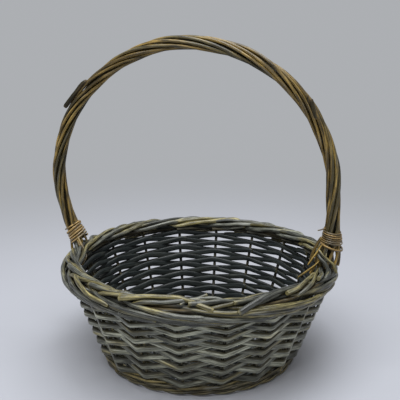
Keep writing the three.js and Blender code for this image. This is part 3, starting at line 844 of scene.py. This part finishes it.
class BASKET_OT_weave(bpy.types.Operator):
    """Weaves the wall: rows of split rods over one stake and under the next"""

    bl_idname = "basket.weave"
    bl_label = "Weave"

    seed = 200
    # Steps of two stakes from a row's first join to its other joins
    second_join = (2, 3)
    third_join = (5, 6, 7)
    clearance = 0.0008
    leg_clearance = 0.0010
    leg_margin = 0.0013
    outer_corner = 0.0030
    inner_corner = 0.0070
    # How far a rod moves up or down from stake to stake, as a share of a row, least at the front
    slip_share = 0.84
    slip_change = 0.14
    slip_turn = math.radians(74)
    first_slip = 0.25
    slip_spread = (0.82, 1.04)
    level_spread = (-0.0002, 0.0002)
    # A rod's ends: their turn beyond the first and the last stake, and how far they are tucked in there
    start_turn = 0.055
    start_tuck = 0.95
    end_turn = 0.030
    end_reach = 0.93
    spacing = 0.0042
    twist = 0.35
    twist_changes = 40
    # Spread of the rods' thickness, taper, girth and warmth
    thickness_spread = (0.90, 1.06)
    taper_spread = (0.10, 0.22)
    girth_spread = (0.95, 1.04)
    width_taper = 0.6
    warmths = (0.0, 0.05, 0.1, 0.25)
    squareness = 0.62
    # Where round the wall the rods stand taller or less tall, and by what share
    left_side = math.radians(155)
    gap_side = math.radians(62)
    left_fullness = 0.16
    back_fullness = 0.10
    right_fullness = 0.16
    gap_thinness = 0.20

    def execute(self, context):
        sizes = context.scene.basket_sizes
        levels = [middle_height("weaver_%02d" % (row + 1)) for row in range(sizes.row_count)]
        for row, level in enumerate(levels):
            near = levels[row - 1] if row else 2 * levels[0] - levels[1]
            self.weave_row(sizes, row, level, (level - near) / math.cos(sizes.wall_lean))
        return {"FINISHED"}

    def weave_row(self, sizes, row, level, pitch):
        rods = Rods(self.seed + row)
        chance = rods.chance
        stakes = range(sizes.stake_count)
        first = chance.choice([index for index in stakes if (index + row) % 2 and not stands_at_leg(index)])
        second = first + 2 * chance.choice(self.second_join)
        third = first + 2 * chance.choice(self.third_join)
        for start, end in ((first, second), (second, third), (third, first + len(stakes))):
            self.weave_rod(sizes, rods, row, level, pitch, start, end)
        number = row + 1
        rods.finish("woven_row_%02d" % number, "weaver willow", "willow_weavers", "weaver_%02d" % number)

    def weave_rod(self, sizes, rods, row, level, pitch, start, end):
        chance = rods.chance
        thickness = sizes.weaver_thickness * chance.uniform(*self.thickness_spread)
        points = []
        corners = []
        for index in range(start, end + 1):
            side = 1 if (index + row) % 2 == 0 else -1
            angle = stake_angle(index)
            slip = self.first_slip
            if row:
                slip = self.slip_share - self.slip_change * math.cos(angle + self.slip_turn)
            slip *= pitch * math.cos(sizes.wall_lean)
            height = level - side * slip / 2 * chance.uniform(*self.slip_spread)
            height += chance.uniform(*self.level_spread)
            reach = side * (sizes.stake_diameter / 2 + thickness / 2 + self.clearance)
            placed = len(points)
            if stands_at_leg(index):
                leg = leg_diameter_at(height) / 2
                reach = side * (leg + thickness / 2 + self.leg_clearance)
                margin = (leg + self.leg_margin) / wall_radius(height)
                points.append(wall_point(angle - margin, height, reach))
                points.append(wall_point(angle + sizes.stake_lag + margin, height, reach))
            else:
                if index == start:
                    reach -= thickness * self.start_tuck
                    points.append(wall_point(angle - self.start_turn, height, reach))
                points.append(wall_point(angle, height, reach))
                if index == end:
                    points.append(wall_point(angle + self.end_turn, height, reach * self.end_reach))
            corners += [self.outer_corner if side > 0 else self.inner_corner] * (len(points) - placed)
        path = along_polyline(rounded_corners(points, corners), self.spacing)
        guides = [
            UP + up_the_wall(bearing(point)) * self.twist * (1 + noise.noise(point * self.twist_changes))
            for point in path
        ]
        last = len(path) - 1
        taper = chance.uniform(*self.taper_spread)
        tall = sizes.weaver_share * pitch * chance.uniform(*self.girth_spread)
        heights = []
        widths = []
        for step, point in enumerate(path):
            before_half = 0.5 - step / last
            heights.append(tall * (1 + taper * before_half) * self.fullness(bearing(point)))
            widths.append(thickness * (1 + self.width_taper * taper * before_half))
        rods.grow(path, widths, heights, guides, warm=chance.choice(self.warmths), flat=self.squareness)

    def fullness(self, angle):
        left = max(math.cos(angle - self.left_side), 0) ** 2
        gap = max(math.cos(angle - self.gap_side), 0) ** 4
        back = max(math.sin(angle), 0)
        right = max(math.cos(angle), 0) ** 8
        taller = self.left_fullness * left + self.back_fullness * back + self.right_fullness * right
        return 1 + taller - self.gap_thinness * gap


# Border


# Degrees along the rim from a border rod's butt, its radius and its height: over the inner edge, then
# outwards under the next butts, and down along the outer edge
BORDER_RUN = (
    (0, 153.2, 121.3), (6, 151.2, 121.8), (12, 147.6, 122.0), (18, 143.4, 121.6), (24, 140.6, 120.6),
    (30, 140.2, 118.9), (36, 143.0, 116.4), (42, 147.8, 115.0), (50, 153.4, 114.4), (58, 157.2, 113.2),
    (66, 158.4, 111.4), (74, 158.5, 109.1), (82, 158.0, 106.7), (90, 156.6, 104.6), (98, 154.9, 103.2),
    (105, 153.3, 102.6),
)
# Where each rod's butt lies, in degrees from the leg of the handle on the right, with its tone and warmth
BORDER_BUTTS = (
    (-195, 0.25, 0.25), (-169, 0.30, 0.05), (-149, 0.75, 0.00), (-124, 0.30, 0.20), (-106, 0.40, 0.75),
    (-78, 0.30, 0.10), (-61, 0.10, 0.00), (-38, 0.95, 0.50), (-17, 0.40, 0.00), (5, 0.90, 0.20),
    (21, 0.75, 0.05), (41, 1.15, 0.10), (61, 0.95, 0.00), (81, 1.05, 0.60), (102, 0.90, 0.05),
    (124, 0.50, 0.30), (142, 0.45, 0.20),
)
# The strands that lie inside the plait, dark as painted shade in its gaps: radius, height and thickness
UNDER_STRANDS = ((148.6, 109.0, 6.4), (143.8, 113.2, 5.6), (151.2, 114.6, 5.0), (147.4, 117.6, 4.4))
# Short rods laid over the plait and ends that stand out of it: tone, warmth, thickness and points
BORDER_ENDS = (
    (0.55, 0.10, 3.6, ((31, -147, 119), (34.4, -137.5, 122.5), (45.8, -131, 127.5))),
    (0.80, 0.00, 4.0, ((22, -145.5, 119.5), (30, -139, 122.8), (54, -130, 124), (66, -128.5, 120.5))),
    (0.85, 0.60, 3.8, ((48, -139, 120.8), (60, -130.5, 122.6), (78, -117.5, 121), (90, -108, 118))),
    (0.70, 0.95, 4.4, ((-100, 101, 114), (-89, 113.5, 112.4), (-60, 131.5, 112.8), (-28, 141, 114.6))),
    (0.95, 0.10, 4.4, ((-12, 142.6, 110.6), (2, 141.5, 112.4), (14, 139.8, 114.8), (24, 139, 117))),
    (0.55, 1.00, 5.2, (
        (83, -136.5, 113.6), (88.5, -134.6, 115.2), (100.5, -125.8, 114.8), (116.2, -111.4, 113.6),
        (130, -95, 111.8), (141.7, -76.2, 110.2), (149, -60, 109.6))),
    (0.70, 0.95, 5.0, (
        (-112, -100, 118.6), (-106.5, -111, 122.4), (-97, -124.6, 121.8), (-85, -135.8, 118.2),
        (-77.5, -140.2, 115.8), (-69, -144.6, 114.8), (-60.8, -147.6, 113.8), (-53, -149.4, 111.8))),
    (0.02, 0.00, 6.3, (
        (80, -140, 115.2), (87, -134.8, 119.6), (98.5, -119.5, 124), (107, -103, 124.8), (117, -86, 123.6),
        (129, -58, 118.6))),
    (0.62, 0.80, 5.4, (
        (-40, -154, 122.6), (-19, -149.8, 125.2), (0.5, -144.5, 125.2), (23, -141, 124.4),
        (42, -145.5, 121.4), (56, -146, 117.5))),
)
# The plait's middle line: radius and height
PLAIT_CORE = (0.1471, 0.1135)
# A leg of the handle in the border: its distance from the axis, the room that it takes, and over what turn
LEG_FROM_AXIS = 0.1499
LEG_ROOM = 0.0068
LEG_TURN = math.radians(9)


class BASKET_OT_border(bpy.types.Operator):
    """Plaits the border: each rod runs over the rim and down its outer side, under the rods that follow"""

    bl_idname = "basket.border"
    bl_label = "Border"

    rod_seed = 500
    strand_nodes = 3
    # The two rods of a pair: how far each lies aside, and its girth
    pair = ((-0.0019, 0.90), (0.0025, 0.74))
    partner_lag = 5
    # Butts are tucked into the plait between these degrees round the rim, and so are all partners'
    tucked_side = (2, 177)
    tuck_in = 3
    tuck_down = 4.5
    stray = (-0.0006, 0.0006)
    spacing = 0.0036
    girth_spread = (0.92, 1.12)
    butt_girth = 1.04
    taper = 0.26
    taper_curve = 1.4
    # Knots on a rod: how many, between which shares of its length, their height and their length in rings
    knot_count = 3
    knot_places = (0.1, 0.9)
    knot_height = 0.18
    knot_length = 0.9
    partner_tone = (0.0, 0.7)
    partner_warmth = (0, 0.6)
    wobble = 0.14
    # The dark strands: points and changes in a round, and how far they sway and rise
    under_seed = 550
    under_steps = 120
    under_changes = 3
    under_sway = 0.0016
    under_rise = 0.8
    under_warmth = 0.3
    end_seed = 560
    end_spacing = 0.003
    end_wobble = 0.1

    def execute(self, context):
        sizes = context.scene.basket_sizes
        for index, (butt, tone, warm) in enumerate(BORDER_BUTTS):
            self.plait_rod(sizes, index, butt, tone, warm)
        self.under_strands()
        rods = Rods(self.end_seed)
        rods.grow_short(BORDER_ENDS, self.end_spacing, self.end_wobble)
        rods.finish("border_ends", "border willow", "willow_border")
        return {"FINISHED"}

    def plait_rod(self, sizes, index, butt, tone, warm):
        rods = Rods(self.rod_seed + index)
        chance = rods.chance
        first_tucked, last_tucked = self.tucked_side
        tucked = first_tucked < butt % 360 < last_tucked
        for partner, (aside, girth) in enumerate(self.pair):
            points = []
            for run, radius, height in BORDER_RUN:
                if run == 0 and (tucked or partner):
                    radius, height = radius - self.tuck_in, height - self.tuck_down
                angle = math.radians(butt + run + self.partner_lag * partner)
                radius = radius * MM + chance.uniform(*self.stray)
                radius = clear_of_legs(angle, radius)
                points.append(around(angle, radius, height * MM + chance.uniform(*self.stray)))
            path = smooth_path(points, self.spacing)
            path = [beside_plait(path, step, aside) for step in range(len(path))]
            last = len(path) - 1
            thick = sizes.border_rod * girth * chance.uniform(*self.girth_spread)
            knots = [chance.uniform(*self.knot_places) * last for knot in range(self.knot_count)]
            widths = []
            for step in range(last + 1):
                swell = sum(math.exp(-((step - knot) / self.knot_length) ** 2) for knot in knots)
                slimmer = self.taper * (step / last) ** self.taper_curve
                widths.append(thick * (self.butt_girth - slimmer + self.knot_height * swell))
            if partner:
                tone = chance.uniform(*self.partner_tone)
                warm = chance.uniform(*self.partner_warmth)
            rods.grow(path, widths, tone=tone, warm=warm, wobble=self.wobble)
        nodes = ["border_strand_%d" % (index + 1)] if index < self.strand_nodes else []
        rods.finish("border_rod_%02d" % (index + 1), "border willow", "willow_border", *nodes)

    def under_strands(self):
        rods = Rods(self.under_seed)
        for radius, height, thickness in UNDER_STRANDS:
            path = []
            for step in range(self.under_steps + 1):
                angle = math.tau * step / self.under_steps
                drift = uneven(
                    math.cos(angle) * self.under_changes, math.sin(angle) * self.under_changes, radius)
                clear = clear_of_legs(angle, radius * MM + self.under_sway * drift)
                path.append(around(angle, clear, (height + self.under_rise * drift) * MM))
            rods.grow(path, thickness * MM, guides=UP, sides=FINE_SIDES, warm=self.under_warmth)
        rods.finish("border_under", "under willow", "willow_border")


def beside_plait(path, step, aside):
    """A point of a border rod's path, moved sideways along the plait's round surface."""
    point = path[step]
    flat = Vector((point.x - AXIS.x, point.y - AXIS.y, 0))
    radius, height = PLAIT_CORE
    core = AXIS + flat.normalized() * radius + UP * height
    return point + direction(path, step).cross(point - core).normalized() * aside


def clear_of_legs(angle, radius):
    """Pushes a rod aside where a leg of the handle passes through the border."""
    away = abs(math.remainder(angle, math.pi))
    share = math.cos(min(away / LEG_TURN, 1) * math.pi / 2) ** 2
    side = radius - LEG_FROM_AXIS
    lacking = LEG_ROOM - abs(side)
    if share <= 0 or lacking <= 0:
        return radius
    return radius + math.copysign(lacking * share, side)


# Handle


class Bow:
    """The handle's middle line, from its left foot over the arch to its right foot, and the rope round it."""

    # The left leg: its heights down the wall, where it passes the rim, and its bend over it
    foot_levels = (0.0122, 0.0432, 0.0741, 0.1051)
    at_rim = (-0.15008, 0.11597)
    left_bend = ((-0.15296, 0.12547), (-0.16608, 0.15485))
    # The arch: its middle, half its width, its rise and its steps, and how much and where its left is fuller
    middle = (-0.010, 0.20236)
    half_width = 0.16308
    rise = 0.164
    arch_steps = 12
    fullness = 0.0032
    full_from = math.pi * 2 / 3
    full_over = math.pi / 6
    spacing = 0.002
    # The rope: the height where it starts, its turns, its radius, and how it flares towards each foot
    rope_level = 0.12836
    rope_turns = 2.5
    rope_middle = 0.0062
    left_flare = 0.0011
    right_flare = 0.0042
    flare_run = 0.045

    def __init__(self):
        left = [(-wall_radius(height), height) for height in self.foot_levels] + [self.at_rim]
        right = [(-x, z) for x, z in reversed(left)]
        arch = []
        for step in range(self.arch_steps + 1):
            angle = math.pi * (1 - step / self.arch_steps)
            fuller = self.fullness * eased((angle - self.full_from) / self.full_over)
            x = self.middle[0] + self.half_width * math.cos(angle) - fuller
            arch.append((x, self.middle[1] + self.rise * math.sin(angle)))
        points = [AXIS + Vector((x, 0, z)) for x, z in (*left, *self.left_bend, *arch, *right)]
        self.points = smooth_path(points, self.spacing)
        self.walked = [0.0]
        for start, end in zip(self.points, self.points[1:]):
            self.walked.append(self.walked[-1] + (end - start).length)
        self.length = self.walked[-1]
        roped = [walked for point, walked in zip(self.points, self.walked) if point.z >= self.rope_level]
        self.start = roped[0]
        self.end = roped[-1]

    def beside(self, distance, angle, radius):
        """A point beside the bow, and the direction in which it lies. The bow's ends run on straight."""
        on_bow = min(max(distance, 0), self.length)
        high = min(bisect_right(self.walked, on_bow), len(self.walked) - 1)
        low = high - 1
        share = (on_bow - self.walked[low]) / (self.walked[high] - self.walked[low])
        along = (self.points[high] - self.points[low]).normalized()
        point = self.points[low].lerp(self.points[high], share)
        beyond = min(distance, 0) + max(distance - self.length, 0)
        outward = Vector((-along.z, 0, along.x))
        side = outward * math.cos(angle) + Vector((0, math.sin(angle), 0))
        return point + along * beyond + side * radius, side

    def rope_turn(self, distance):
        return -math.tau * self.rope_turns * (distance - self.start) / (self.end - self.start)

    def rope_radius(self, distance):
        to_left, to_right = distance - self.start, self.end - distance
        flare = self.left_flare if to_left < to_right else self.right_flare
        return self.rope_middle + flare * (1 - eased(min(to_left, to_right) / self.flare_run))


# Short rods of the handle: tone, warmth, thickness and points. First those of border willow beside its feet
FOOT_RODS = (
    (0.80, 0.10, 5.0, (
        (-155.5, -5, 130), (-153.8, -9, 121), (-151, -16, 116.5), (-148, -26, 116), (-143, -40, 113))),
    (0.55, 0.00, 4.4, (
        (140, -7, 138), (142, -11, 135), (148.5, -14, 130), (152, -16, 122.5), (149, -20, 112.5),
        (145, -25, 105))),
    (0.80, 0.30, 3.4, (
        (140.5, -9, 143), (145, -12, 138.5), (151.5, -13, 133.5), (157.5, -12, 128), (161, -11, 119))),
)
# The loose tails and twigs at its feet
FOOT_TWIGS = (
    (0.95, 0.60, 2.2, (
        (-152, -9, 133), (-144.6, -15, 126.5), (-137, -20.5, 118), (-133.8, -26, 113.6), (-136, -34, 106.6))),
    (0.80, 0.90, 2.4, ((-154.5, -8, 131), (-148, -13.5, 125.5), (-142, -17, 116.5), (-139, -21, 108))),
    (0.60, 1.00, 3.4, ((-162, -5, 132), (-160.5, -8, 122), (-158.5, -10, 112))),
    (0.95, 0.50, 2.4, ((143.5, -7.5, 149), (139.6, -8, 142), (134.2, -8.5, 133.4), (129, -8.5, 124.6))),
    (0.45, 0.60, 3.8, ((142, -2, 156), (137.5, -3, 148), (133.6, -3.5, 139), (131, -4, 128.5))),
    (0.35, 0.40, 3.6, ((145, 4, 152), (140, 5, 142), (136.8, 5, 132), (136, 4, 124))),
    (0.30, 0.40, 3.4, ((144.5, -3, 148), (141.5, -4, 138), (140.2, -5, 128), (140, -5, 121))),
    (0.90, 0.30, 2.2, ((141.5, -7, 130), (137.5, -8, 125.5), (128, -9, 117), (118.9, -9, 109.2))),
    (0.85, 0.90, 3.2, ((140, -5, 132), (139, -6, 128), (135, -7, 121), (131.5, -8, 114.5))),
)
# A butt end over its left shoulder, and a broken stub with a splinter on its right one
DARK_ENDS = (
    (0.55, 0.20, 5.4, (
        (-163, -4, 290), (-156.8, -4, 297.6), (-148, -4, 307.8), (-139.5, -4, 317.2), (-134, -3.5, 320.8))),
    (0.60, 0.10, 4.6, ((130.5, -5, 288), (128.2, -6, 297), (126.2, -6.2, 304), (124.9, -6, 309.2))),
    (0.50, 0.20, 2.6, ((122.8, -5, 304), (121.9, -5.5, 309), (121.2, -5.5, 313.2))),
)


class BASKET_OT_handle(bpy.types.Operator):
    """Bends the bow and ropes the thin rods round it"""

    bl_idname = "basket.handle"
    bl_label = "Handle"

    bow_seed = 600
    rope_seed = 610
    rod_nodes = 7
    steps = 220
    lag_spread = (-0.12, 0.12)
    girths = (0.90, 0.98, 1.04, 1.12)
    tail_spread = (0.003, 0.009)
    # How the roped rods wander round the rope and off it: how often, the change from rod to rod and the
    # pattern's row, and then how far
    drift = (7, 7.3, 1.0)
    drift_turn = 0.24
    lift = (14, 5.1, 4.0)
    lift_height = 0.0009
    slim_end = 0.88
    taper = 0.22
    warmth = (0.0, 0.8)
    tones = (0.1, 0.95)
    wobble = 0.12
    # The pieces of short rods: name, finish, seed and rods of each
    short_pieces = (
        ("foot_rods", "border willow", 649, FOOT_RODS),
        ("foot_twigs", "handle willow", 650, FOOT_TWIGS),
        ("dark_ends", "dark willow", 649, DARK_ENDS),
    )
    short_spacing = 0.0022
    short_wobble = 0.14

    def execute(self, context):
        sizes = context.scene.basket_sizes
        bow = Bow()
        rods = Rods(self.bow_seed)
        path = bow.points[::2]
        rods.grow(path, [leg_diameter_at(point.z) for point in path], guides=Vector((0, 1, 0)))
        rods.finish("bow", "bow willow", "willow_handle", "handle_bow")
        for index in range(sizes.rope_count):
            self.rope_rod(sizes, bow, index)
        for name, finish, seed, rows in self.short_pieces:
            rods = Rods(seed)
            rods.grow_short(rows, self.short_spacing, self.short_wobble)
            rods.finish(name, finish, "willow_handle")
        return {"FINISHED"}

    def wander(self, share, index, how):
        often, change, row = how
        return uneven(share * often, index * change, row)

    def rope_rod(self, sizes, bow, index):
        rods = Rods(self.rope_seed + index)
        chance = rods.chance
        first = index * math.tau / sizes.rope_count + chance.uniform(*self.lag_spread)
        girth = sizes.rope_rod * chance.choice(self.girths)
        start = bow.start - chance.uniform(*self.tail_spread)
        end = bow.end + chance.uniform(*self.tail_spread)
        flip = chance.random() < 0.5
        path = []
        guides = []
        widths = []
        for step in range(self.steps + 1):
            share = step / self.steps
            distance = start + (end - start) * share
            angle = first + bow.rope_turn(distance) + self.drift_turn * self.wander(share, index, self.drift)
            radius = bow.rope_radius(distance) + self.lift_height * self.wander(share, index, self.lift)
            point, side = bow.beside(distance, angle, radius)
            path.append(point)
            guides.append(side)
            widths.append(girth * (self.slim_end + self.taper * (share if flip else 1 - share)))
        warm = chance.uniform(*self.warmth)
        tone = chance.uniform(*self.tones)
        rods.grow(path, widths, guides=guides, tone=tone, warm=warm, wobble=self.wobble)
        nodes = ["handle_rod_%d" % (index + 1)] if index < self.rod_nodes else []
        rods.finish("rope_rod_%d" % (index + 1), "handle willow", "willow_handle", *nodes)


# The windings of cane on each side: the first turn's rise, the number of turns, their pitch and tilt, and
# the cane's width. All but the number of turns are in millimetres
WINDINGS = {
    "left": ((-3.4, 5.4, 3.3, 2.0, 2.7), (15.4, 1.1, 1.2, 1.2, 2.0)),
    "right": ((22.4, 6.0, 2.25, 1.6, 1.8), (17.8, 1.1, 1.2, 3.8, 2.5)),
}
# The loose end of cane on each side
CANE_TIPS = {
    "left": ((-158.5, -8, 147.5), (-155.6, -8.5, 150), (-151.5, -8, 153.6)),
    "right": ((146.5, -9.5, 169.5), (142, -9.5, 167), (138.2, -8.5, 165.6)),
}


class BASKET_OT_binding(bpy.types.Operator):
    """Binds the handle's feet with cane"""

    bl_idname = "basket.binding"
    bl_label = "Binding"

    seeds = {"left": 701, "right": 700}
    steps_a_turn = 30
    first_turn = 0.4
    # How high the cane lies over the rope: a gap, a share of its width, and more at its first turn
    gap = 0.0003
    bedding = 0.3
    slack = 0.0009
    # How the turns sway: how often round the foot and from turn to turn, along it and off it
    sway_round = 1.4
    sway_turns = 0.9
    sway_along = 0.16
    sway_off = 0.0006
    # The cane's change of width, and its thickness beside its width
    width_changes = (1.3, 2, 7)
    width_change = 0.22
    thinness = 0.58
    warmth = 0.4
    tones = {"left": 0.6, "right": 0.25}
    tip_step = 0.0015
    tip_diameter = 0.0014
    tip_tone = 0.2

    def execute(self, context):
        bow = Bow()
        for side, way in (("left", 1), ("right", -1)):
            rods = Rods(self.seeds[side])
            for winding in WINDINGS[side]:
                self.wind(rods, bow, side, way, *winding)
            tip = smooth_path(places(CANE_TIPS[side]), self.tip_step)
            rods.grow(tip, self.tip_diameter, tone=self.tip_tone, warm=self.tip_tone, sides=FINE_SIDES)
            rods.finish("cane_" + side, "cane strip", "cane", "binding_" + side)
        return {"FINISHED"}

    def wind(self, rods, bow, side, way, rise, turns, pitch, tilt, width):
        foot = bow.start if way > 0 else bow.end
        over = bpy.context.scene.basket_sizes.rope_rod / 2 + width * self.bedding * MM + self.gap
        often, change, row = self.width_changes
        path = []
        guides = []
        widths = []
        for step in range(round(turns * self.steps_a_turn) + 1):
            wound = step / self.steps_a_turn
            angle = math.pi - way * (wound * math.tau + self.first_turn)
            sway = uneven(math.cos(angle) * self.sway_round, math.sin(angle) * self.sway_round,
                          wound * self.sway_turns + way + rise)
            lift = rise + wound * pitch - tilt * math.cos(angle) + self.sway_along * pitch * sway
            distance = foot + way * lift * MM
            radius = bow.rope_radius(distance) + over + self.sway_off * sway
            radius += self.slack * (1 - wound / turns)
            point, guide = bow.beside(distance, angle, radius)
            path.append(point)
            guides.append(guide)
            widths.append(width * MM * (1 + self.width_change * uneven(wound * often, way * change, row)))
        rods.grow(path, widths, [wide * self.thinness for wide in widths], guides, sides=FINE_SIDES,
                  warm=self.warmth, tone=self.tones[side])


# Stage


class BASKET_OT_stage(bpy.types.Operator):
    """Sets the floor, the light and the camera"""

    bl_idname = "basket.stage"
    bl_label = "Stage"

    # The floor: its radius, its fine mottle, and where it fades into the backdrop
    floor_radius = 12.0
    floor_sides = 96
    mottle = ((3.0, 3.0, 3.0), 2.0, 0.5)
    mottle_tones = (0.97, 1.03)
    fade = (0.30, 1.1)
    haze = (0.415, 0.428, 0.448)
    # The light of the room, and the lamps: name, place, size, power and colour
    room_light = (0.44, 0.435, 0.43)
    lamps = (
        ("key", (-0.1, -0.7, 1.5), 1.2, 22.0, (0.97, 0.985, 1.0)),
        ("top", (0.2, 0.2, 1.6), 1.0, 16.0, (0.95, 0.975, 1.0)),
    )
    lit_height = 0.1
    # The camera: where it stands round the basket, how high it looks and how far off it is
    azimuth = math.radians(16)
    elevation = 0.26
    distance = 0.850
    aim_height = 0.188
    aim_aside = 0.00064
    sensor = 36
    picture_width = 400
    focal_pixels = 736

    def execute(self, context):
        self.floor(context)
        self.light(context)
        self.camera(context)
        context.scene.view_settings.view_transform = "Standard"
        return {"FINISHED"}

    def floor(self, context):
        shade = context.scene.basket_colours.floor
        mesh = bmesh.new()
        bmesh.ops.create_circle(mesh, cap_ends=True, segments=self.floor_sides, radius=self.floor_radius)
        data = bpy.data.meshes.new("floor")
        mesh.to_mesh(data)
        mesh.free()
        material = bpy.data.materials.new("floor")
        nodes = Nodes(material)
        place = nodes.add("TexCoord").outputs["Object"]
        dark, light = self.mottle_tones
        paper = nodes.mix(nodes.noise(place, *self.mottle), shaded(shade, dark), shaded(shade, light))
        far = nodes.span(nodes.vectors("LENGTH", place, output="Value"), *self.fade)
        matt = nodes.add("BsdfPrincipled", {"Base Color": paper, "Roughness": 0.9})
        haze = nodes.add("Emission", {"Color": (*self.haze, 1), "Strength": 1.0})
        hazy = nodes.times(far, nodes.seen())
        both = nodes.add("MixShader", {0: hazy, 1: matt.outputs[0], 2: haze.outputs[0]})
        nodes.add("OutputMaterial", {"Surface": both.outputs[0]})
        data.materials.append(material)
        floor = bpy.data.objects.new("floor", data)
        context.scene.collection.objects.link(floor)

    def light(self, context):
        world = bpy.data.worlds.new("studio")
        nodes = Nodes(world)
        room = nodes.add("Background", {"Color": nodes.mix(nodes.seen(), self.room_light, self.haze)})
        nodes.add("OutputWorld", {"Surface": room.outputs[0]})
        context.scene.world = world
        for name, place, size, power, tone in self.lamps:
            lamp = bpy.data.lights.new(name, "AREA")
            lamp.size = size
            lamp.energy = power
            lamp.color = tone
            holder = bpy.data.objects.new(name, lamp)
            holder.location = place
            aim = Vector((0, 0, self.lit_height)) - Vector(place)
            holder.rotation_euler = aim.to_track_quat("-Z", "Y").to_euler()
            context.scene.collection.objects.link(holder)

    def camera(self, context):
        right = heading(self.azimuth)
        back = Vector((math.sin(self.azimuth), -math.cos(self.azimuth), 0))
        target = AXIS + UP * self.aim_height + right * self.aim_aside
        place = target + (back * math.cos(self.elevation) + UP * math.sin(self.elevation)) * self.distance
        data = bpy.data.cameras.new("camera")
        data.sensor_width = self.sensor
        data.lens = self.focal_pixels / self.picture_width * self.sensor
        camera = bpy.data.objects.new("camera", data)
        camera.location = place
        camera.rotation_euler = (target - place).to_track_quat("-Z", "Y").to_euler()
        context.scene.collection.objects.link(camera)
        context.scene.camera = camera


# Add-on


class BASKET_PT_panel(bpy.types.Panel):
    """Lists the basket's sizes, colours and pieces"""

    bl_idname = "BASKET_PT_panel"
    bl_label = "Willow Basket"
    bl_space_type = "VIEW_3D"
    bl_region_type = "UI"
    bl_category = "Basket"

    def draw(self, context):
        for group in (context.scene.basket_sizes, context.scene.basket_colours):
            box = self.layout.box()
            for name in group.__annotations__:
                box.prop(group, name)
        for operator in OPERATORS:
            self.layout.operator(operator.bl_idname)


OPERATORS = (
    BASKET_OT_stage,
    BASKET_OT_base,
    BASKET_OT_stakes,
    BASKET_OT_wales,
    BASKET_OT_weave,
    BASKET_OT_border,
    BASKET_OT_handle,
    BASKET_OT_binding,
)
CLASSES = (BasketSizes, BasketColours, *OPERATORS, BASKET_PT_panel)


def register():
    for cls in CLASSES:
        bpy.utils.register_class(cls)
    bpy.types.Scene.basket_sizes = PointerProperty(type=BasketSizes)
    bpy.types.Scene.basket_colours = PointerProperty(type=BasketColours)


def unregister():
    del bpy.types.Scene.basket_colours
    del bpy.types.Scene.basket_sizes
    for cls in reversed(CLASSES):
        bpy.utils.unregister_class(cls)


def main():
    register()
    bpy.ops.basket.stage()
    bpy.ops.basket.base()
    bpy.ops.basket.stakes()
    bpy.ops.basket.wales()
    bpy.ops.basket.weave()
    bpy.ops.basket.border()
    bpy.ops.basket.handle()
    bpy.ops.basket.binding()


if __name__ == "__main__":
    main()
